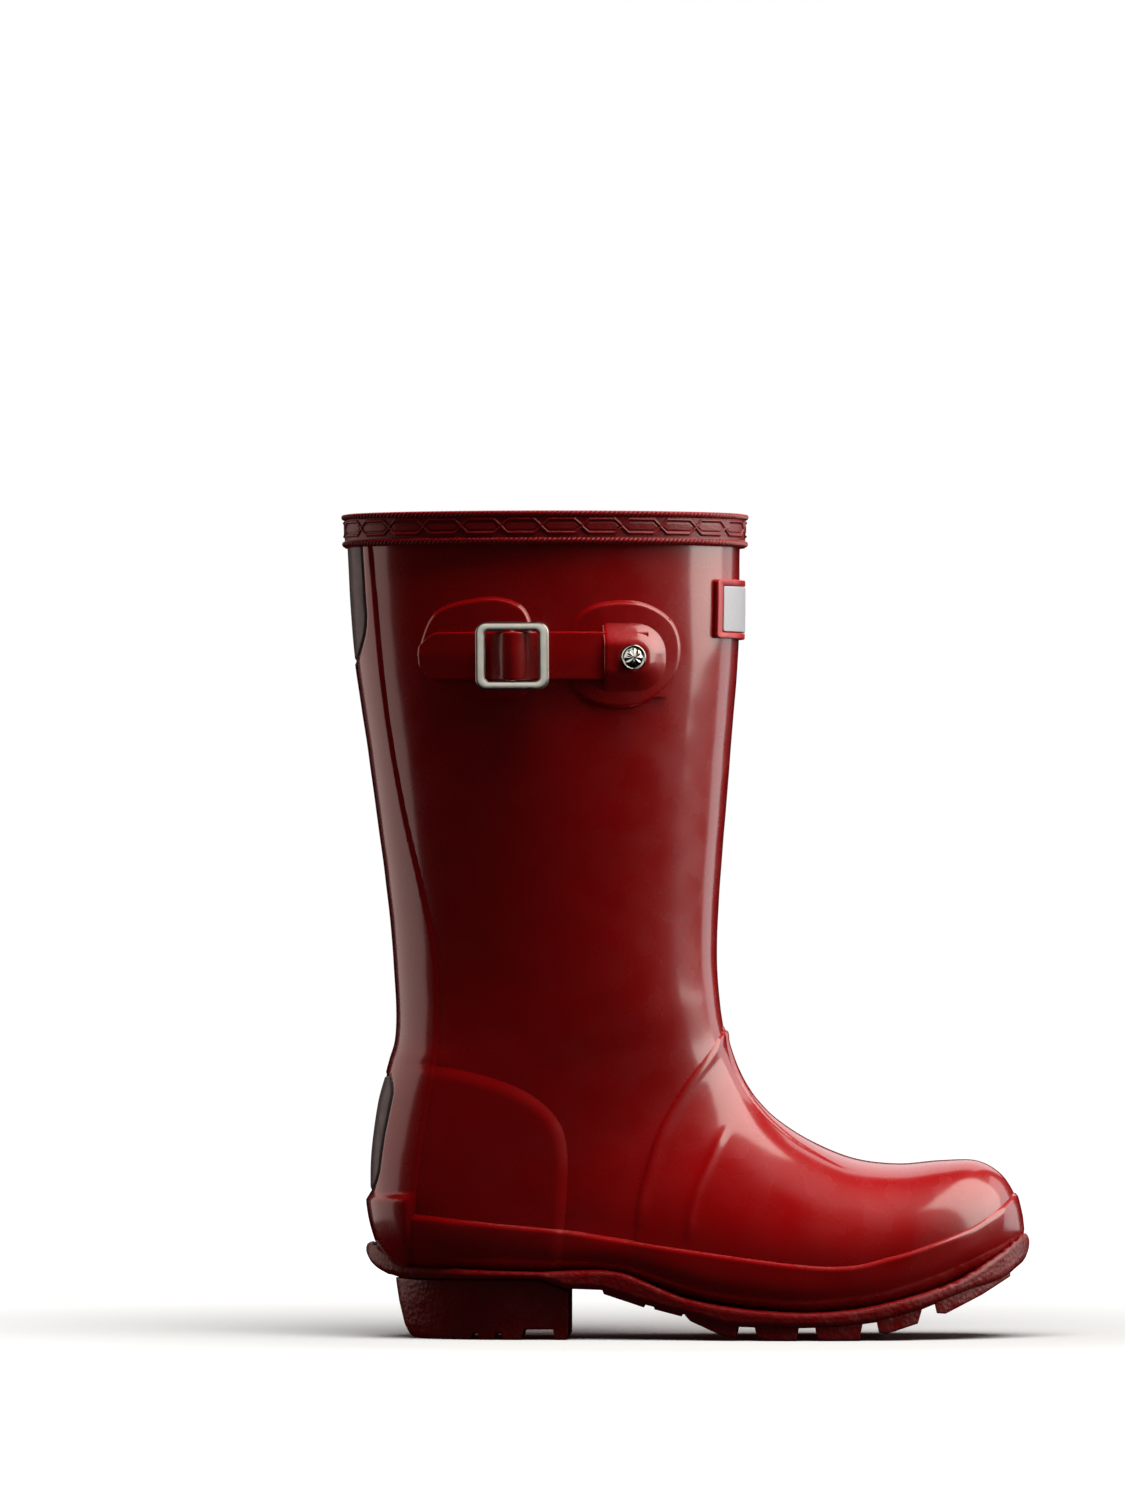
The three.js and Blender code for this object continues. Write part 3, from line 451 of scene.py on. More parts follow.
def knit_lining():
    """Knitted cotton lining bonded inside the wall: matt, with rows of small loops."""
    material, base = new_material(
        "knitted cotton lining", IOR=1.45, Roughness=0.9, Sheen_Weight=0.35, Sheen_Roughness=0.5
    )
    mottled(base, 6, "#5E1013", "#7D1A1D")
    # rows of loops are about 1.4 mm apart in the cloth and drawn 8.8 mm apart so that they show;
    # the wave texture repeats every 2 pi / 20 units of its scale
    tree, _, place = base
    scale = 2 * math.pi / (20 * 8.8 * MM)
    rows = add_node(
        tree, "TexWave", {"Vector": (place, "Object")}, bands_direction="Z", Scale=scale, Distortion=0.6
    )
    loops = add_node(tree, "Bump", {"Height": (rows, "Fac")}, Strength=0.8, Distance=0.25 * MM)
    grained(base, 0.9, 0.25, kind="TexVoronoi", output="Distance", under=loops)
    return material


def footbed_felt():
    """Needled felt footbed: dark grey fibres pressed flat, fully matt."""
    material, base = new_material(
        "needled felt", IOR=1.45, Roughness=0.95, Sheen_Weight=0.4, Sheen_Roughness=0.6
    )
    mottled(base, 1.2, "#1E1E21", "#3C3C40", detail=6.0)
    grained(base, 0.8, 0.2)
    return material


def pressed_board(name, dark, light, fibre_length):
    """Pressed fibre board or stiffener sheet: matt, flecked with its fibres."""
    material, base = new_material(name, IOR=1.45, Roughness=0.88)
    mottled(base, fibre_length, dark, light, detail=8.0)
    grained(base, 0.6, 0.05)
    return material


def reflector_tape():
    """Glass-bead reflective tape, charcoal grey by day, under a thin clear film that dulls its beads."""
    material, base = new_material(
        "glass bead reflector", IOR=1.5, Coat_Weight=0.3, Coat_Roughness=0.2, Coat_IOR=1.5
    )
    mottled(base, 0.8, "#4A4546", "#5E5859", detail=2.0)
    uneven_gloss(base, 5, 0.4, 0.55)
    # beads are finer than 0.1 mm and drawn at 0.5 mm
    grained(base, 0.5, 0.02, kind="TexVoronoi", output="Distance")
    return material


def badge_rubber():
    """Injection-moulded soft PVC frame of the badge: even satin red, slightly pinker than the wall."""
    material, base = new_material(
        "moulded badge PVC", IOR=1.53, Coat_Weight=0.2, Coat_Roughness=0.2, Coat_IOR=1.5
    )
    mottled(base, 8, "#C21A20", "#CE262B")
    uneven_gloss(base, 3, 0.3, 0.4)
    grained(base, 0.5, 0.01)
    return material


def label_pvc():
    """Printed pale grey label let into the badge: smooth satin with faint specks."""
    material, base = new_material("printed label PVC", IOR=1.53)
    mottled(base, 1.5, "#BEC1C6", "#CCCED4")
    uneven_gloss(base, 3, 0.38, 0.5)
    grained(base, 0.6, 0.008)
    return material


def plated_metal(name, dark, light, low, high, line):
    """Nickel plate on a casting: metal with soft polishing lines and slightly dull patches."""
    material, base = new_material(name, Metallic=1.0)
    mottled(base, 4, dark, light)
    uneven_gloss(base, 1.5, low, high)
    grained(base, line, 0.0004)
    return material


GLOSS = gloss_rubber()
BAND_FINISH = band_rubber()
SOLE = sole_rubber()
KNIT = knit_lining()
FELT = footbed_felt()
REFLECTOR = reflector_tape()
BADGE_FINISH = badge_rubber()
LABEL = label_pvc()
NICKEL = plated_metal("satin nickel plate", "#BDB8AC", "#D2CEC2", 0.3, 0.38, 0.5)
BRIGHT_NICKEL = plated_metal("polished nickel plate", "#B4B0A6", "#CFCBC2", 0.1, 0.2, 0.9)
STIFFENER = pressed_board("resin-dipped stiffener cloth", "#2E2B28", "#45413C", 2.0)
BOARD = pressed_board("pressed insole board", "#7A6448", "#9A8260", 1.2)
SPONGE = pressed_board("open-cell heel sponge", "#221F1D", "#34302D", 0.9)

for node_name, finish in (
    ("heel_stiffener", STIFFENER), ("toe_puff", STIFFENER), ("insole_board", BOARD),
    ("heel_filler", SPONGE), ("stud_rivet", BRIGHT_NICKEL),
):
    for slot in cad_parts[node_name].material_slots:
        slot.material = finish


# ---------------------------------------------------------------- lines on the boot
WELT_LINE = curve([
    (-115, 33), (-101, 28.6), (-94, 25.2), (-86, 23.4), (-52, 21.8), (-35, 22.2), (-20, 21.6), (2.6, 13),
    (29.4, 9.3), (52.5, 9.8), (73.9, 14.4), (88, 19.5), (97, 25), (103.6, 29.4), (108.2, 33), (116, 39),
])
FOXING_LINE = curve([
    (-115, 41.6), (-86, 40.2), (-61.4, 37.6), (-38, 35.2), (-0.6, 29.4), (44.5, 23.9), (66, 27),
    (87, 34.1), (96, 38.8), (103, 44.5), (108, 49.8), (116, 55),
])
STAY_EDGE = curve([
    (-104, 300), (-99.2, 252), (-94.7, 204), (-89.3, 171.5), (-82.6, 143), (-78.4, 122.6), (-77.8, 102),
    (-78.6, 87), (-83, 60), (-85, 43), (-86, 20),
])
COUNTER_EDGE = curve([
    (-120, 89), (-100, 88.5), (-78.4, 87), (-61.4, 83.5), (-48.4, 78), (-40, 70), (-37, 60),
    (-37.4, 43.2), (-39.4, 20),
])
VAMP_EDGE = curve([
    (28, 116), (20, 106), (12.6, 98.5), (7.2, 90.5), (0.3, 81.5), (-8, 66.9), (-12.5, 53.1),
    (-15.4, 39.4), (-17, 10),
])
VAMP_RIB = curve([(16, 73), (12.3, 65.9), (9.6, 59.5), (5, 49.3), (2.6, 41.1), (1, 30)])
SHEET_LINE = np.array([
    (-115, 31), (-101.5, 26.6), (-94.5, HEEL_HEIGHT + 1.6), (-90, HEEL_HEIGHT + GAP),
    (-46, HEEL_HEIGHT + GAP), (-37.5, 16.4), (-26, 16), (-11.5, 11.2), (1.7, 8), (14, 4.6), (32, 4),
    (50, 4.4), (62, 6), (75, 9.6), (90, 15.6), (103, 22.4), (108, 26.4), (116, 33),
])
CLEATS = [
    [(-26, 16.5), (-25.4, 14.7), (-12.6, 10.5), (-11.8, 12.5)],
    [(-9.8, 12), (-9.2, 9.9), (-0.6, 7.7), (0.2, 9)],
    [(0.5, 8), (2.2, 6.2), (12, 1.8), (16.6, 0.9), (17.4, 6)],
    [(22.2, 6), (23.4, 1.2), (26.4, 0), (35.8, 0), (36.8, 6)],
    [(41.4, 6), (42.6, 0.6), (45, 0), (55.8, 0.2), (57.2, 7)],
    [(60.9, 8), (62, 2.6), (64.6, 2.2), (74.4, 5.4), (76, 11)],
    [(79.6, 12), (80.4, 8.6), (83.2, 8.4), (94.8, 14.2), (104, 19.8)],
]

# ---------------------------------------------------------------- wall and overlays
STAY_TOP = 254  # under the top band
FAR_OUTSIDE = -9.0
STEP = 0.95
LAST_POINTS, LAST_NORMALS = last_grid(STEP, 384, place_at_height(RIM - 0.5))
X, Y, Z = np.moveaxis(LAST_POINTS, -1, 0)


def over_surface(distance):
    """A side-view distance turned into distance along the curved wall."""
    along, around = grid_steps(LAST_POINTS)
    e, f, g = (along**2).sum(-1), (along * around).sum(-1), (around**2).sum(-1)
    da, db = grid_steps(distance)
    slope = (g * da**2 - 2 * f * da * db + e * db**2) / np.maximum(e * g - f * f, 1e-9)
    return distance / np.sqrt(np.clip(slope, 0.06, 4))


in_foxing = over_surface(-beside(FOXING_LINE, X, Z))
above_welt = beside(WELT_LINE, X, Z)
in_stay = over_surface(-beside(STAY_EDGE, X, Z))
in_counter = over_surface(-beside(COUNTER_EDGE, X, Z))
in_vamp = over_surface(beside(VAMP_EDGE, X, Z))
by_rib = beside(VAMP_RIB, X, Z)
# the top band hides the upper end of the upper reflector, which is laid out as a whole rounded box
behind = X < -60
upper_box = in_rounded_box(Y, Z - 258, 16.5, 41.7, 15.5)
heel_box = in_rounded_box(Y, Z - 65.4, 15.5, 18.4, 8)
in_upper_reflector = np.where(behind & (Z > 180), upper_box, FAR_OUTSIDE)
in_heel_reflector = np.where(behind & (Z < 120), heel_box, FAR_OUTSIDE)

# Rubber laid by hand is never quite even.
uneven = 0.14 * ripple(LAST_POINTS, 46, 3) + 0.035 * ripple(LAST_POINTS, 15, 8)
heel_crease = 0.35 * np.exp(-(((Z - 89) / 3.2) ** 2)) * ease((-70 - X) / 12)
instep_half = np.interp(X, [10, 24, 36, 50], [3.5, 7, 12, 16])
on_instep = (Z > 50) & (X > 5) & (X < 60)
strip = np.where(on_instep, instep_half - np.abs(Y), FAR_OUTSIDE)
instep_strip = 0.55 * ease(strip / 1.6) * ease((58 - X) / 26) * ease((106 - Z) / 8)
counter_height = lip(in_counter, 4.2, 1.0, sunk=0.2) * (1 - 0.8 * ease((-78 - X) / 14))
counter_shape = np.clip(counter_height, 0, None)
vamp_crest = 0.42 * np.exp(-(((in_vamp - 1.4) / 2.2) ** 2)) * ease((Z - 34) / 10)
rib_crest = 0.5 * np.exp(-((by_rib / 1.4) ** 2)) * ease((70 - Z) / 8) * ease((Z - 30) / 8)
rib_crest = rib_crest * (X > -5) * (X < 22)

# A sheet is shown where its first value is above zero: the leg runs on 3.5 mm under the vamp, and both
# go down 7 mm below the sole's upper line.
wall_height = uneven + heel_crease
sheet("leg", np.where(above_welt > -7, 3.5 - in_vamp, -1), wall_height, GLOSS, WALL, "gloss_rubber")
vamp_lap = np.where(in_vamp > 0, lip(in_vamp, 1.2, 0.3) + vamp_crest, np.maximum(in_vamp * 0.4, -0.3))
vamp_height = wall_height + vamp_lap + rib_crest + instep_strip
sheet("vamp", np.where(above_welt > -7, in_vamp + 1.0, -1), vamp_height, GLOSS, WALL, "gloss_rubber")
for side, name in ((-1, "heel_counter_lateral"), (1, "heel_counter_medial")):
    shown = np.where((Y * side > 0.5) & (above_welt > -2), in_counter + 1.0, -1)
    sheet(name + "_sheet", shown, wall_height + counter_height, GLOSS, 0.6, "gloss_rubber")

in_reflectors = np.maximum(in_upper_reflector, in_heel_reflector)
stay_height = wall_height + counter_shape + lip(in_stay, 1.3, OVERLAY + 0.1)
stay_height = stay_height - 0.55 * ease((in_reflectors + 0.5) / 0.6)
in_foot = np.minimum(over_surface(45.5 - Z), over_surface(-86.4 - X))
stay_height = stay_height + (FOXING + 0.35) * ease((in_foot + 1.2) / 2.6)
stay_height = stay_height + 0.25 * np.exp(-(Y**2)) * behind
stay_shown = np.where((above_welt > -1.5) & (Z < STAY_TOP), in_stay + 1.0, -1)
sheet("back_stay_sheet", stay_shown, stay_height, GLOSS, 0.7, "gloss_rubber")
for name, inside in (
    ("upper_reflector_tape", in_upper_reflector), ("heel_reflector_tape", in_heel_reflector),
):
    height = wall_height + counter_shape + lip(inside, 0.7, OVERLAY + 0.12, sunk=0.6) + 0.02
    sheet(name, np.where(Z < STAY_TOP, inside + 0.6, -1), height, REFLECTOR, 0.5, "reflector")

foxing_height = wall_height + 0.7 * counter_shape + lip(in_foxing, 1.5, FOXING)
foxing_height = foxing_height + 0.1 * ripple(LAST_POINTS, 22, 12) * ease(in_foxing / 3)
foxing_shown = np.where(above_welt > -3, in_foxing + 1.0, -1)
sheet("foxing_strip", foxing_shown, foxing_height, GLOSS, 0.9, "gloss_rubber")
for made, node in (
    ("leg", "leg_shell"), ("vamp", "vamp_shell"), ("heel_counter_lateral_sheet", "heel_counter_lateral"),
    ("heel_counter_medial_sheet", "heel_counter_medial"), ("back_stay_sheet", "back_stay"),
    ("upper_reflector_tape", "upper_reflector"), ("heel_reflector_tape", "heel_reflector"),
    ("foxing_strip", "foxing"),
):
    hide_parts(node)


# ---------------------------------------------------------------- lining and footbed
LINED_POINTS, LINED_NORMALS = last_grid(2.4, 150, place_at_height(RIM - 0.9))
LINING_SEAM = 100


def lining_part(name, keep_below, keep_above, node):
    """Knitted lining between two heights, as a sheet inside the wall."""
    outside = LINED_POINTS - LINED_NORMALS * (WALL + GAP)
    height = outside[..., 2]
    cell = (height < keep_below) & (height > keep_above)
    cell &= beside(WELT_LINE, outside[..., 0], height) > -8
    keep = cell[:-1] & cell[1:] & np.roll(cell, -1, 1)[:-1] & np.roll(cell, -1, 1)[1:]
    points, faces = used_only(outside, quads(*cell.shape, keep=keep, around=True))
    made = thickened(piece(name, points, faces, KNIT, slot="knit_lining"), LINING)
    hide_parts(node)


lining_part("leg_lining_knit", RIM - 0.6, LINING_SEAM + 1.2, "leg_lining")
lining_part("foot_lining_knit", LINING_SEAM - 0.4, -50, "foot_lining")


# ---------------------------------------------------------------- forms cut across the foot
def sole_outline(distance):
    """Plan outline of the sole, grown by a distance: y of either side at any x, and x of both tips."""
    at = np.linspace(12, 21, 60)
    lateral, medial = on_last(at, 0.25)[:, :2], on_last(at, 0.75)[:, :2]
    heel_reach = 48.0
    angle = np.linspace(0, math.pi / 2, 40)
    heel_x = HEEL_CENTRE_X - heel_reach * np.cos(angle)
    heel = [
        np.stack([heel_x, side * abs(rail[0, 1]) * np.sin(angle)], -1)
        for side, rail in ((-1, lateral), (1, medial))
    ]
    tip = [[108.0, TOE_TIP[1]]]
    loop = np.concatenate([heel[0], lateral, tip, medial[::-1], heel[1][::-1][:-1]])
    forward, backward = np.roll(loop, -1, 0), np.roll(loop, 1, 0)
    direction = (forward - backward) / np.linalg.norm(forward - backward, axis=1, keepdims=True)
    grown = loop + np.stack([direction[:, 1], -direction[:, 0]], -1) * distance
    toe = len(heel[0]) + len(lateral)
    lower, upper = grown[:toe + 1], np.concatenate([grown[toe:], grown[:1]])[::-1]
    return (
        lambda x: np.interp(x, lower[:, 0], lower[:, 1]),
        lambda x: np.interp(x, upper[:, 0], upper[:, 1]),
        grown[0, 0], grown[toe, 0],
    )


def between(first, last, step):
    """Places from first to last, closer together towards both ends."""
    count = max(8, int(abs(last - first) / step))
    return (first + last) / 2 - (last - first) / 2 * np.cos(np.linspace(0, math.pi, count))


def loft(xs, lateral, medial, bottom, top, radius, across=16, up=8, squeeze=None):
    """Closed form made of rounded sections along x; squeeze narrows a section towards its foot."""
    corner = np.linspace(0, math.pi / 2, 5)
    loop = [(a, 0, 1, 0) for a in np.linspace(-1, 1, across)[1:-1]]
    loop += [(1, 0, 1 - math.sin(t), 1 - math.cos(t)) for t in corner]
    loop += [(1, b, 0, 1 - 2 * b) for b in np.linspace(0, 1, up)[1:-1]]
    loop += [(1, 1, 1 - math.cos(t), -(1 - math.sin(t))) for t in corner]
    loop += [(a, 1, 1, 0) for a in np.linspace(1, -1, across)[1:-1]]
    loop += [(-1, 1, 1 - math.sin(t), -(1 - math.cos(t))) for t in corner]
    loop += [(-1, b, 0, 1 - 2 * b) for b in np.linspace(1, 0, up)[1:-1]]
    loop += [(-1, 0, 1 - math.cos(t), 1 - math.sin(t)) for t in corner]
    a, b, inset, lift = np.array(loop).T
    x = np.asarray(xs)[:, None]
    low, high = bottom(x), top(x)
    left, right = lateral(x), medial(x)
    smaller = np.minimum(np.maximum(right - left, 0.02), np.maximum(high - low, 0.02))
    r = np.minimum(radius, smaller * 0.49)
    z = low + (high - low) * b + lift * r
    half = (right - left) / 2
    if squeeze is not None:
        half = half * squeeze(x, z)
    y = (left + right) / 2 + a * np.maximum(half - inset * r, 0.001)
    points = np.stack([x + 0 * y, y, z], -1)
    rows, columns = y.shape
    faces = quads(rows, columns, around=True)
    start, end = rows * columns, rows * columns + 1
    caps = [points[0].mean(0), points[-1].mean(0)]
    faces += [[start, (j + 1) % columns, j] for j in range(columns)]
    last = (rows - 1) * columns
    faces += [[end, last + j, last + (j + 1) % columns] for j in range(columns)]
    return np.concatenate([points.reshape(-1, 3), caps]), faces


def on_line(line, shift=0.0):
    """Height of a line over any x, as a function."""
    return lambda x: np.interp(x, line[:, 0], line[:, 1]) + shift


def outsole():
    """Sole sheet with its raised edge and cleats, pebbled, with rough moulding flash at heel and toe."""
    lateral, medial, heel_tip, toe_tip = sole_outline(WELT)

    def edge_at(x, level):
        """Height in the raised edge, which thickens at the heel and toe and ends round at both tips."""
        low = on_line(SHEET_LINE)(x) - 2.2 * ease((x - 88) / 14) - 1.4 * ease((-93 - x) / 6)
        high = on_line(WELT_LINE)(x) + 2.2 * ease((-88 - x) / 9)
        off = np.clip(np.minimum(x - heel_tip, toe_tip - x) / 2.6, 0, 1)
        roundness = np.sqrt(np.clip(1 - (1 - off) ** 2, 0.01, 1))
        return (low + high) / 2 + level * (high - low) / 2 * roundness

    points, faces = loft(
        between(heel_tip, toe_tip, 0.7), lateral, medial,
        lambda x: edge_at(x, -1), lambda x: edge_at(x, 1), 1.9, up=9,
    )
    at_ends = ease((np.abs(points[:, 0] + 4) - 72) / 22)
    rough = 0.35 * ripple(points, 3.2, 21) + 0.2 * ripple(points, 1.4, 22)
    top = ease((points[:, 2] - edge_at(points[:, 0], 1) + 1.6) / 1.4)
    points[:, 2] += rough * at_ends * top
    points[:, 2] += 0.12 * ripple(points, 9, 23) * top
    parts = [(points, faces)]
    lateral, medial, _, _ = sole_outline(WELT - 1)
    for profile in CLEATS:
        line = np.array(profile)
        xs = np.unique(np.concatenate([np.linspace(line[0, 0], line[-1, 0], 40), line[:, 0]]))
        bottom, top = on_line(line), on_line(SHEET_LINE, 1.2)
        for low, high in ((lateral, lambda x: 0 * x - 2), (lambda x: 0 * x + 2, medial)):
            parts.append(loft(xs, low, high, bottom, top, 0.7, across=8, up=6))
    points, faces = joined(parts)
    made = piece("outsole_moulding", points, faces, SOLE, slot="sole_rubber")
    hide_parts("outsole")


HEEL_BACK = np.array([(0, -85.8), (1.2, -88.2), (4.4, -89.8), (12, -91.6), (19.2, -92.6), (30, -93)])
HEEL_BREAST_X = -36.8
HEEL_FOOT = np.array([
    (-93, 19), (-92.6, 18.6), (-92.3, 16.5), (-91.6, 12), (-89.8, 4.4), (-88.2, 1.2), (-87.2, 0.4),
    (-85.8, 0), (-68, 0), (-67.4, 2), (-65.6, 2), (-65, 0), (-60.6, 0), (-60, 2), (-58.2, 2), (-57.6, 0),
    (-52, 0), (-51, 3.3), (-41.6, 3.3), (-41, 0), (-38, 0), (-37.2, 0.3), (HEEL_BREAST_X, 1.3),
])


def heel_block():
    """Heel block, narrower towards the ground, with a sloping round back and grooves in its tread."""
    lateral, medial, _, _ = sole_outline(WELT - 3)
    widest = (float(lateral(HEEL_CENTRE_X)), float(medial(HEEL_CENTRE_X)))

    def narrowing(x, z):
        """Share of the width left at a place: the back is round and the sides lean in."""
        reach = HEEL_CENTRE_X - np.interp(z, HEEL_BACK[:, 0], HEEL_BACK[:, 1])
        away = np.clip((HEEL_CENTRE_X - x) / reach, 0, 1)
        return np.sqrt(np.maximum(1 - away**2, 0)) * (0.94 + 0.06 * ease(z / 18))

    back, body = between(-92.55, -80, 0.25), np.arange(-79.5, HEEL_BREAST_X, 0.5)
    xs = np.unique(np.round(np.concatenate([back, body, HEEL_FOOT[8:, 0]]), 3))
    points, faces = loft(
        xs,
        lambda x: np.where(x < HEEL_CENTRE_X, widest[0], lateral(x)),
        lambda x: np.where(x < HEEL_CENTRE_X, widest[1], medial(x)),
        on_line(HEEL_FOOT),
        on_line(np.array([(-46, HEEL_HEIGHT), (HEEL_BREAST_X, 15.6)])),
        0.6, across=20, up=22, squeeze=narrowing,
    )
    made = piece("heel_block_moulding", points, faces, SOLE, slot="sole_rubber")
    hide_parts("heel_block")


def footbed():
    """Felt footbed lying on the lining, slightly cupped at its edge."""
    lateral, medial, heel_tip, toe_tip = sole_outline(-6.5)
    points, faces = loft(
        between(heel_tip, toe_tip - 6, 1.2), lateral, medial,
        on_line(WELT_LINE, 3.6), on_line(WELT_LINE, 7), 0.8, across=24,
    )
    across = np.abs(points[:, 1]) / 32
    above = points[:, 2] - on_line(WELT_LINE)(points[:, 0])
    points[:, 2] += 1.6 * ease((across - 0.45) / 0.5) * ease(above / 6)
    made = piece("footbed_pad", points, faces, FELT, slot="footbed_felt")
    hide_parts("footbed")


outsole()
heel_block()
footbed()


# ---------------------------------------------------------------- patterned top band
def top_band():
    """Pressed strip round the rim: two roped edges and a raised chain of long six-sided links."""
    columns, low = 1500, RIM - BAND_HEIGHT
    middle = low + 5.85
    fine = np.linspace(0, 1, 6001)
    ring = on_last(np.full(fine.shape, place_at_height(258)), fine)
    along = np.concatenate([[0], np.cumsum(np.linalg.norm(np.diff(ring, axis=0), axis=1))])
    place = np.linspace(0, along[-1], columns, endpoint=False)
    turns = np.interp(place, along, fine)
    heights = np.concatenate([
        [low + 0.3], np.linspace(low, low + 2.6, 16), np.linspace(low + 2.9, RIM - 2.5, 26),
        np.linspace(RIM - 2.2, RIM - 0.25, 14),
    ])
    z, s = heights[:, None], place[None, :]
    wall = on_last(place_at_height(z), turns[None, :])
    around = np.roll(wall, -1, 1) - np.roll(wall, 1, 1)
    normal = np.cross(around, np.array([0, 0, -1.0]))
    normal /= np.linalg.norm(normal, axis=-1, keepdims=True)

    links = round(along[-1] / 12.8)
    pitch = along[-1] / links
    phase = np.abs((s + pitch / 2) % pitch - pitch / 2)
    half_link = np.interp(phase, [0, 4.1, pitch / 2], [2.15, 2.15, 0.1])
    off_middle = np.abs(z - middle)
    chain = 0.5 * (1 - ease((np.abs(off_middle - half_link) - 0.16) / 0.4))
    inner = 0.22 * ease((half_link - off_middle - 0.8) / 0.4)
    rope = 0
    for centre in (low + 1.2, RIM - 1.0):
        off = np.clip(np.abs(z - centre) / 0.95, 0, 1)
        twist = np.abs(np.sin(np.pi * (s / 1.5 + (z - centre) * 0.45)))
        rope = rope + np.sqrt(1 - off**2) * (0.3 + 0.62 * twist)
    wavy = 0.1 * ripple(wall, 30, 31)
    out = GAP + BAND + chain + inner + rope + wavy
    out[0] = 0.2
    rows = wall + normal * out[..., None]
    # over the rim and down inside the wall, and tucked in under the lower edge
    over = wall[-1] + normal[-1] * np.array([0.9, 0.1, -WALL - 0.2, -WALL - 0.35])[:, None, None]
    over[..., 2] = RIM - np.array([0.02, 0.0, 0.1, 1.6])[:, None]
    back = wall[:1] + normal[:1] * np.array([-0.8])[:, None, None]
    points = np.concatenate([back, rows, over])
    faces = quads(points.shape[0], columns, around=True, flip=True)
    made = piece("top_band_strip", points, faces, BAND_FINISH, slot="band_rubber")
    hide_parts("top_band")


top_band()


# ---------------------------------------------------------------- strap and its patches
def pressed_patch(outline, height):
    """A rubber plate laid on the leg's lateral side, in rings from its rounded, sunk edge inwards."""
    steps, sunk = 26, 0.35
    outline = np.asarray(outline, float)
    centre = outline.mean(0)
    reach = np.linalg.norm(outline - centre, axis=1, keepdims=True)
    insets = [0, 0.03, 0.07, 0.12, 0.2, 0.3, 0.42, 0.56, 0.72, 0.9, 1.1, 1.35, 1.7, 2.1, 2.6]
    insets = np.array(insets) - sunk
    rings = [centre + (outline - centre) * (1 - inset / reach) for inset in insets]
    inner = 1 - insets[-1] / reach
    rings += [centre + (outline - centre) * inner * k for k in np.linspace(1, 0.04, steps)[1:]]
    plan = np.array(rings)
    inside = np.concatenate([insets, np.full(steps - 1, 9.0)])[:, None] + 0 * plan[..., 0]
    x, z = plan[..., 0], plan[..., 1]
    points = on_leg(x, z, lip(inside, 1.5, height(x, z), sunk=0.3))
    count = len(outline)
    faces = quads(len(plan), count, around=True)
    middle = len(plan) * count
    faces += [[middle, middle - count + (j + 1) % count, middle - count + j] for j in range(count)]
    points = np.concatenate([points.reshape(-1, 3), points[-1].mean(0, keepdims=True)])
    return points, faces


def closed_curve(points, pieces=10):
    """Smooth closed outline through points."""
    points = np.array(points, float)
    at = np.arange(len(points) * pieces) / pieces
    i = at.astype(int)
    rows = [points[(i + k) % len(points)] for k in (-1, 0, 1, 2)]
    return spline(*rows, (at - i)[:, None])


REAR_PATCH = closed_curve([
    (-47.4, 217), (-48.4, 229), (-53.3, 234.6), (-63.5, 236), (-78.1, 232.1), (-83.6, 222), (-83.6, 215.6),
    (-80.0, 209.0), (-69, 204.0), (-55.4, 203), (-48.6, 207),
])
FRONT_PATCH = closed_curve([
    (-1, 219), (-4, 229), (-14.4, 234.7), (-28.5, 233.6), (-35.6, 227), (-37.4, 217), (-35.4, 207),
    (-27, 201.4), (-14.4, 201.3), (-4.4, 208.6),
])
DOME_BACK, DOME_FRONT, DOME_HALF, DOME_RADIUS = -25.8, -7.4, 9.8, 8.5
DOME_SKIRT = 2.6  # how far the pocket runs on past its outline, down to the plate


def strap_height(x):
    """Underside of the strap above the wall: it rides over the buckle's middle bar."""
    away = np.abs(x - BUCKLE_AT[0]) / (BUCKLE_LENGTH / 2 - BUCKLE_BAR - 0.4)
    rise = BUCKLE_BASE + 2 * BAR_RADIUS + GAP - STRAP_BASE
    return STRAP_BASE + np.where(away < 1, rise * np.cos(np.minimum(away, 1) * math.pi / 2) ** 2, 0)


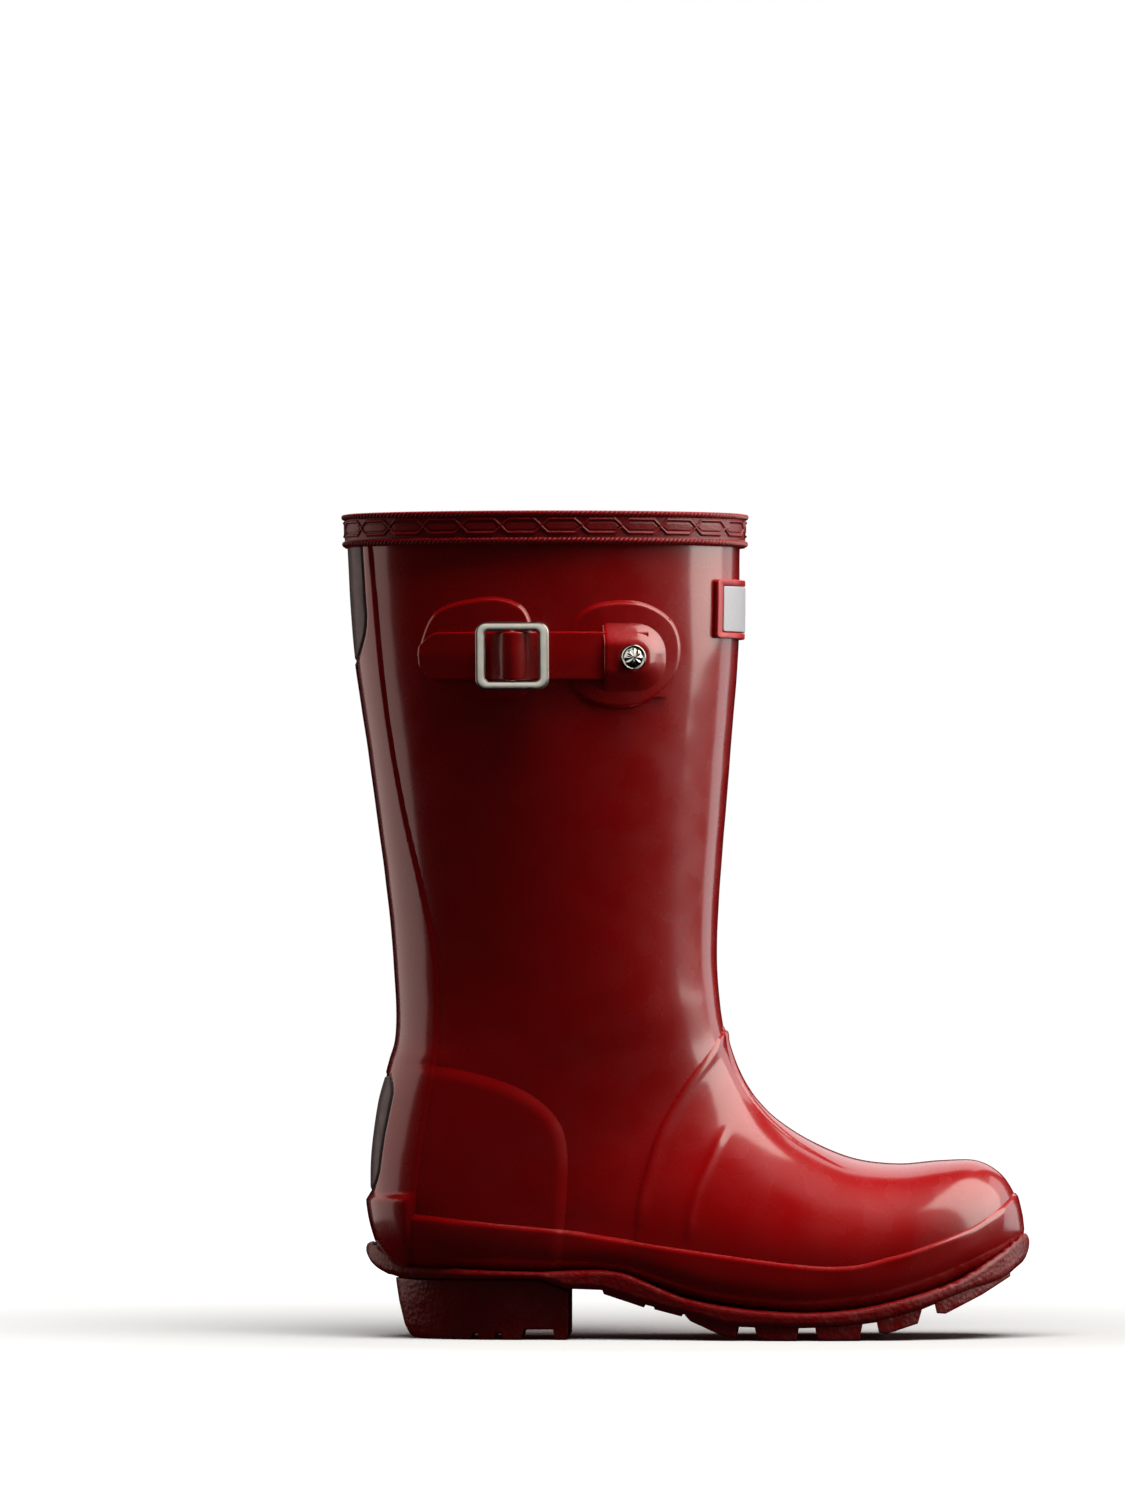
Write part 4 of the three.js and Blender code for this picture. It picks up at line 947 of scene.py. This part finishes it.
def patches():
    """Plates that carry the strap; they thin out under it towards the middle."""
    rear = pressed_patch(REAR_PATCH, lambda x, z: GAP + PATCH + 0 * x)
    made = piece("rear_strap_plate", *rear, GLOSS, slot="gloss_rubber")
    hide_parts("rear_strap_patch")

    plate = pressed_patch(FRONT_PATCH, lambda x, z: (GAP + PATCH) * (0.35 + 0.65 * ease((x + 37) / 12)))
    # The pocket stands over the strap and comes down to the plate above, below and in front of it.
    # Its outline runs on behind its mouth, so that only the front corners are round.
    x = np.concatenate([[DOME_BACK], np.linspace(DOME_BACK + 0.15, DOME_FRONT + DOME_SKIRT, 64)])
    z = np.linspace(-DOME_HALF - DOME_SKIRT, DOME_HALF + DOME_SKIRT, 74)
    x, z = np.meshgrid(x, z)
    behind_mouth = DOME_BACK - 12
    inside = in_rounded_box(
        x - (behind_mouth + DOME_FRONT) / 2, z, (DOME_FRONT - behind_mouth) / 2, DOME_HALF, DOME_RADIUS
    )
    skirt = GAP + PATCH - 0.25
    crown = DOME_UNDERSIDE + PATCH - 0.2 * (z / DOME_HALF) ** 2
    shape = skirt + (crown - skirt) * ease((inside + 2.4) / DOME_RADIUS)
    mouth = 0.3 * ease(DOME_BACK + 1.0 - x)
    top = on_leg(x, STUD_AT[1] + z, shape - mouth)
    under = on_leg(x, STUD_AT[1] + z, np.maximum(shape - PATCH, GAP))
    rows, columns = shape.shape
    size = rows * columns
    faces = quads(rows, columns, flip=True) + [[i + size for i in f] for f in quads(rows, columns)]
    edge = [(i * columns, (i + 1) * columns) for i in range(rows - 1)]
    faces += [[a, b, b + size, a + size] for a, b in edge]
    pocket = (np.concatenate([top.reshape(-1, 3), under.reshape(-1, 3)]), faces)
    made = piece("front_strap_pocket", *joined([plate, pocket]), GLOSS, slot="gloss_rubber")
    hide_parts("front_strap_patch")


def strap():
    """Strap and its free end in one length, from the boot past the buckle to the tail."""
    tip, half_width = -83.4, STRAP_WIDTH / 2
    upper_edge = np.array([(tip, 0), (-83.1, 3), (-80.6, 5.6), (-78.4, 7.3), (-77, half_width)])
    lower_edge = np.array([(tip, 0), (-82.4, -3.4), (-80.2, -6.4), (-79.0, -half_width)])
    x = np.concatenate([tip + 6.4 * np.linspace(0, 1, 22) ** 2, np.arange(-76.6, -12, 0.45)])
    upper, lower = on_line(upper_edge)(x), on_line(lower_edge)(x)
    # a section runs down the lower edge, along the underside, up the upper edge and back over the face
    edge = np.linspace(0, math.pi, 9)
    flat = np.linspace(-1, 1, 20)[1:-1]
    ring = [(-1, -math.sin(t), 0.5 + 0.5 * math.cos(t)) for t in edge]
    ring += [(a, 0, 0) for a in flat]
    ring += [(1, math.sin(t), 0.5 - 0.5 * math.cos(t)) for t in edge]
    ring += [(a, 0, 1) for a in flat[::-1]]
    a, bulge, b = np.array(ring).T
    middle, half = (upper + lower) / 2, np.maximum((upper - lower) / 2, 0.05)
    thickness = STRAP * ease(0.35 + (x - tip) / 1.6)
    round_edge = np.minimum(half, 0.55)
    z = BUCKLE_AT[1] + middle[:, None] + a * (half - round_edge)[:, None] + bulge * round_edge[:, None]
    edge_roll = 0.1 * np.cos(np.clip(np.abs(a), 0, 1) * math.pi)
    height = strap_height(x)[:, None] + b * thickness[:, None] + (edge_roll * (b > 0.5))
    points = on_leg(x[:, None] + 0 * z, z, height)
    rows, columns = z.shape
    faces = quads(rows, columns, around=True) + [face[::-1] for face in end_faces(rows, columns)]
    made = piece("strap_and_tail", points, faces, GLOSS, body=None, slot="gloss_rubber")
    start, end = (
        tuple(on_leg(TAIL_HINGE_X + shift, BUCKLE_AT[1], STRAP_BASE + STRAP / 2) * MM + PATTERN_ORIGIN)
        for shift in (0.9, -1.6)
    )
    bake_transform(made)
    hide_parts("strap", "strap_tail")


patches()
strap()


# ---------------------------------------------------------------- fittings
def fitting_frame(x, z):
    """Origin on the wall with directions along the strap, up, and outwards."""
    origin = on_leg(x, z)
    outwards = on_leg(x, z, 1.0) - origin
    up = np.array([0, 0, 1.0]) - outwards * outwards[2]
    up /= np.linalg.norm(up)
    return origin, np.cross(up, outwards), up, outwards


def set_on(place, points):
    """Points given along the strap, up and outwards, set on a fitting's frame."""
    origin, along, up, outwards = place
    points = np.asarray(points, float)
    return origin + points[..., :1] * along + points[..., 1:2] * up + points[..., 2:3] * outwards


def rounded_loop(half_a, half_b, radius, side=12, corner=10):
    """Loop round a rounded rectangle with the same number of points for any size."""
    corners = []
    for sa, sb, start in ((1, -1, -90), (1, 1, 0), (-1, 1, 90), (-1, -1, 180)):
        angle = np.radians(start + np.linspace(0, 90, corner))
        centre = np.array([sa * (half_a - radius), sb * (half_b - radius)])
        corners.append(centre + radius * np.stack([np.cos(angle), np.sin(angle)], -1))
    loop = []
    for k in range(4):
        loop += [corners[k], np.linspace(corners[k][-1], corners[(k + 1) % 4][0], side)[1:-1]]
    return np.concatenate(loop)


def buckle():
    """Cast slide buckle, nickel plated: round-edged frame with a bar across its middle."""
    outer = rounded_loop(BUCKLE_LENGTH / 2, BUCKLE_HEIGHT / 2, 3.4)
    inner = rounded_loop(BUCKLE_LENGTH / 2 - BUCKLE_BAR, STRAP_WIDTH / 2 + GAP, 1.3)
    count, round_loop = 28, len(outer)
    squareness = 0.62
    angle = np.linspace(0, 2 * math.pi, count, endpoint=False)
    share = 0.5 + 0.5 * np.sign(np.cos(angle)) * np.abs(np.cos(angle)) ** squareness
    lift = 0.5 + 0.5 * np.sign(np.sin(angle)) * np.abs(np.sin(angle)) ** squareness
    plan = outer[None] + (inner - outer)[None] * (1 - share)[:, None, None]
    height = BUCKLE_BASE + BUCKLE_THICKNESS * lift[:, None] + 0 * plan[..., 0]
    ring = np.concatenate([plan, height[..., None]], -1)
    faces = quads(count, round_loop, around=True)
    last, following = (count - 1) * round_loop, [(j + 1) % round_loop for j in range(round_loop)]
    faces += [[last + j, last + following[j], following[j], j] for j in range(round_loop)]

    rows, sides = 24, 20
    up = np.linspace(-BUCKLE_HEIGHT / 2 + 1, BUCKLE_HEIGHT / 2 - 1, rows)
    turn, up = np.meshgrid(np.linspace(0, 2 * math.pi, sides, endpoint=False), up)
    bar = np.stack([
        BAR_RADIUS * np.cos(turn), up, BUCKLE_BASE + BAR_RADIUS + BAR_RADIUS * np.sin(turn)
    ], -1)
    bar_faces = quads(rows, sides, around=True, flip=True) + end_faces(rows, sides)
    points, faces = joined([(ring, faces), (bar, bar_faces)])
    points = set_on(fitting_frame(*BUCKLE_AT), points)
    made = piece("buckle_casting", points, faces, NICKEL, body="buckle_body", slot="nickel")
    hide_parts("buckle")


def stud_cap():
    """Pressed stud cap: a rolled rim, a sunk ring and a low eight-petalled middle."""
    profile = np.array([
        (1.85, 0), (4.05, 0), (4.25, 0.05), (4.3, 0.3), (4.25, 0.6), (4.1, 0.86), (3.85, 1.05),
        (3.6, 1.08), (3.42, 0.98), (3.3, 0.82), (3.1, 0.8), (2.85, 0.9), (2.5, 1.12), (2.1, 1.28),
        (1.7, 1.4), (1.3, 1.48), (0.9, 1.55), (0.5, 1.6), (0.15, 1.62),
    ])
    radius, height = profile[:, :1], profile[:, 1:]
    columns = 96
    turn = np.linspace(0, 2 * math.pi, columns, endpoint=False)
    petals = 0.16 * np.cos(8 * turn) * np.interp(radius, [0.4, 1.5, 2.6, 3.1], [0, 1, 0.8, 0])
    beads = 0.05 * np.cos(48 * turn) * np.interp(radius, [3.3, 3.6, 4.0], [0, 1, 0])
    x, y = radius * np.cos(turn), radius * np.sin(turn)
    points = set_on(fitting_frame(*STUD_AT), np.stack([x, y, CAP_BASE + height + petals + beads], -1))
    faces = quads(len(profile), columns, around=True) + end_faces(len(profile), columns)
    made = piece("stud_cap_pressing", points, faces, BRIGHT_NICKEL, slot="stud_nickel")
    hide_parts("stud_cap")


def on_front(y, z, height):
    """Points standing a height off the leg's front, at y and z."""
    def wall(y, z):
        """Points of the bare wall."""
        row = section(place_at_height(z))
        reach = (row[..., 0] - row[..., 2]) / 2
        return np.stack([row[..., 0] - reach + reach * np.sqrt(1 - (y / row[..., 4]) ** 2), y, z], -1)

    y, z, height = np.broadcast_arrays(y, z, height)
    across = wall(y + 0.05, z) - wall(y - 0.05, z)
    up = wall(y, z + 0.05) - wall(y, z - 0.05)
    normal = np.cross(across, up)
    normal /= np.linalg.norm(normal, axis=-1, keepdims=True)
    return wall(y, z) + normal * height[..., None]


def front_plate(name, half_y, half_z, radius, base, thickness, edge, material, slot, sink=0.0, rim=0.0):
    """Plate on the front of the leg, with a soft edge and, where it frames a label, a sunk middle."""
    def inset_loop(inset, smallest):
        """Outline drawn in by an inset, with a radius no smaller than the one given."""
        shape = (half_y - inset, half_z - inset, max(radius - inset, smallest))
        return rounded_loop(*shape, side=40, corner=8)

    # the back is laid out in rings as well, so that it follows the leg instead of cutting across it
    filling = np.linspace(0.03, 1, 12)[:-1]
    rings, lifts = [inset_loop(0, 0) * k for k in filling], [0.0] * len(filling)
    quarter = np.linspace(0, math.pi / 2, 7)
    insets = np.concatenate([[0.0], edge * (1 - np.cos(quarter))])
    rises = np.concatenate([[0.0], thickness - edge + edge * np.sin(quarter)])
    for inset, rise in zip(insets, rises):
        rings.append(inset_loop(inset, 0.2))
        lifts.append(rise)
    if sink:
        for inset, drop in ((rim - 0.2, 0), (rim, 0.15), (rim + 0.05, sink)):
            rings.append(inset_loop(inset, 0.6))
            lifts.append(thickness - drop)
    rings += [rings[-1] * k for k in filling[::-1]]
    lifts += [lifts[-1]] * len(filling)
    plan = np.array(rings)
    height = base + np.array(lifts)[:, None] + 0 * plan[..., 0]
    points = on_front(plan[..., 0], BADGE_Z + plan[..., 1], height)
    rows, columns = height.shape
    faces = quads(rows, columns, around=True) + end_faces(rows, columns)[::-1]
    return piece(name, points, faces, material, slot=slot)


buckle()
stud_cap()
badge_frame = front_plate(
    "badge_frame_moulding", 20, 9.4, 1.2, GAP - 0.25, 1.75, 0.35, BADGE_FINISH, "badge_rubber",
    sink=0.7, rim=1.9,
)
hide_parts("badge_frame")
badge_label = front_plate("badge_label_plate", 17.8, 7.2, 0.7, 0.9, 0.95, 0.2, LABEL, "label")
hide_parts("badge_label")


# ---------------------------------------------------------------- studio
def stage_mesh(name, points, faces, material):
    """A mesh of the studio from points in metres of the frame."""
    points = (np.array(points, float) - PATTERN_ORIGIN) / MM
    made = piece(name, points, faces, material, body=None, smooth=False)
    return made


BOOT_MIDDLE = (0, 0, 0.13)


def emitter(name, colour, strength):
    """Evenly lit studio material."""
    material = bpy.data.materials.new(name)
    material.use_nodes = True
    tree = material.node_tree
    shader = tree.nodes["Principled BSDF"]
    shader.inputs["Base Color"].default_value = linear("#000000")
    shader.inputs["Emission Color"].default_value = linear(colour)
    shader.inputs["Emission Strength"].default_value = strength
    return material


def studio_floor():
    """Pale seamless floor that glows as painted light, not at all near the boot and fully further off: it
    stays white up to the boot's soft shadow and is painted darker round the boot.
    """
    material = emitter("pale seamless floor", "#FFFFFF", 0.42)
    shader = material.node_tree.nodes["Principled BSDF"]
    shader.inputs["Base Color"].default_value = linear("#F2F1EE")
    shader.inputs["Roughness"].default_value = 0.9
    tree = material.node_tree
    place = add_node(tree, "TexCoord")
    away = add_node(tree, "VectorMath", {0: (place, "Object")}, operation="LENGTH")
    # painted light: the glow rises from none at 0.12 m from the middle to full at 0.8 m, a painted shade
    # round the boot
    glow = add_node(
        tree, "MapRange", {"Value": (away, "Value")}, From_Min=0.12, From_Max=0.8, To_Min=0.0, To_Max=1.0
    )
    tree.links.new(glow.outputs["Result"], shader.inputs["Emission Strength"])
    size = 9.0
    corners = [(-size, -size, 0), (size, -size, 0), (size, size, 0), (-size, size, 0)]
    floor = stage_mesh("floor", corners, [(0, 1, 2, 3)], material)
    floor.visible_glossy = False
    floor.visible_diffuse = False
    return floor


def studio_dome():
    """White surround, seen by the camera but giving the boot no light."""
    rows, columns, radius = 16, 48, 8.5
    phi = np.linspace(-0.1, math.pi / 2 * 0.995, rows)[:, None]
    theta = np.linspace(0, 2 * math.pi, columns, endpoint=False)
    x, y = np.cos(phi) * np.cos(theta), np.cos(phi) * np.sin(theta)
    points = np.stack([x, y, np.sin(phi) + 0 * theta], -1).reshape(-1, 3) * radius
    faces = quads(rows, columns, around=True) + end_faces(rows, columns)[1:]
    dome = stage_mesh("surround", points, faces, emitter("white surround", "#FFFFFF", 1.0))
    for ray in ("glossy", "diffuse", "transmission", "volume_scatter", "shadow"):
        setattr(dome, "visible_" + ray, False)


def softbox(name, azimuth, elevation, distance, width, height, power, tint="#FFFFFF", roll=0):
    """Soft light aimed at the middle of the boot.

    Azimuth 0 is in front of the lateral side and 90 beyond the toe; roll leans its upper edge.
    """
    light = bpy.data.lights.new(name, "AREA")
    light.shape, light.size, light.size_y, light.energy = "RECTANGLE", width, height, power
    light.color = linear(tint)[:3]
    made = bpy.data.objects.new(name, light)
    a, e = math.radians(azimuth), math.radians(elevation)
    away = Vector((math.sin(a) * math.cos(e), -math.cos(a) * math.cos(e), math.sin(e)))
    made.location = Vector(BOOT_MIDDLE) + away * distance
    lean = Quaternion((0, 0, 1), math.radians(roll))
    made.rotation_euler = (away.to_track_quat("Z", "Y") @ lean).to_euler()
    made.visible_camera = False
    bpy.context.scene.collection.objects.link(made)
    return made


floor = studio_floor()
studio_dome()


def light_group(name, members):
    """Objects that lights are linked to, or kept off once the group is set to exclude them."""
    group = bpy.data.collections.new(name)
    for member in members:
        group.objects.link(member)
    return group


metal = light_group(
    "metal fittings", [bpy.data.objects[made] for made in ("buckle_casting", "stud_cap_pressing")]
)
floor_only = light_group("floor only", [floor])
all_but_floor = light_group("all but the floor", [floor])
all_but_floor.collection_objects[0].light_linking.link_state = "EXCLUDE"
toe_light = softbox("toe softbox", 86, 33, 1.15, 0.9, 1.45, 12, tint="#FFF6EE", roll=12)
toe_gleam = softbox("toe softbox gleam", 86, 33, 1.15, 0.9, 1.45, 31, tint="#FFF6EE", roll=12)
toe_gleam.visible_diffuse = False
far_light = softbox("far softbox", 122, 12, 1.2, 0.5, 0.9, 1.6)
heel_light = softbox("heel softbox", -112, 8, 1.2, 1.3, 0.9, 2.6, tint="#FFDCD4")
medial_light = softbox("medial softbox", 180, 35, 1.3, 1.3, 1.0, 4)
overhead = softbox("overhead softbox", 75, 82, 1.2, 0.8, 0.8, 25)
overhead.visible_glossy = False
for light in (toe_light, toe_gleam, far_light, heel_light, medial_light, overhead):
    light.light_linking.receiver_collection = all_but_floor
card = softbox("card for the metal", -4, 22, 0.9, 1.0, 0.8, 3)
card.light_linking.receiver_collection = metal
wash = softbox("floor wash", 5, 58, 1.3, 1.3, 1.3, 29)
wash.light_linking.receiver_collection = floor_only

world = bpy.data.worlds.new("studio")
bpy.context.scene.world = world
world.use_nodes = True
world.node_tree.nodes["Background"].inputs["Color"].default_value = linear("#FFFFFF")
world.node_tree.nodes["Background"].inputs["Strength"].default_value = 0.06
world.cycles_visibility.glossy = False

bpy.context.scene.view_settings.view_transform = "Standard"

# ---------------------------------------------------------------- camera
EYE_DISTANCE = 4.0
EYE_HEIGHT = 0.13
FRAME_HEIGHT = 0.48  # height of the view at the boot
VIEW_CENTRE = (-0.0392, 0.188)
TURN = 1.5  # degrees towards the toe
camera = bpy.data.objects.new("camera", bpy.data.cameras.new("camera"))
camera.data.lens = camera.data.sensor_width * EYE_DISTANCE / FRAME_HEIGHT
turn = math.radians(TURN)
camera.location = (
    VIEW_CENTRE[0] + EYE_DISTANCE * math.sin(turn), -EYE_DISTANCE * math.cos(turn), EYE_HEIGHT
)
camera.rotation_euler = (math.pi / 2, 0, turn)
camera.data.shift_y = (VIEW_CENTRE[1] - EYE_HEIGHT) / FRAME_HEIGHT
bpy.context.scene.collection.objects.link(camera)
bpy.context.scene.camera = camera
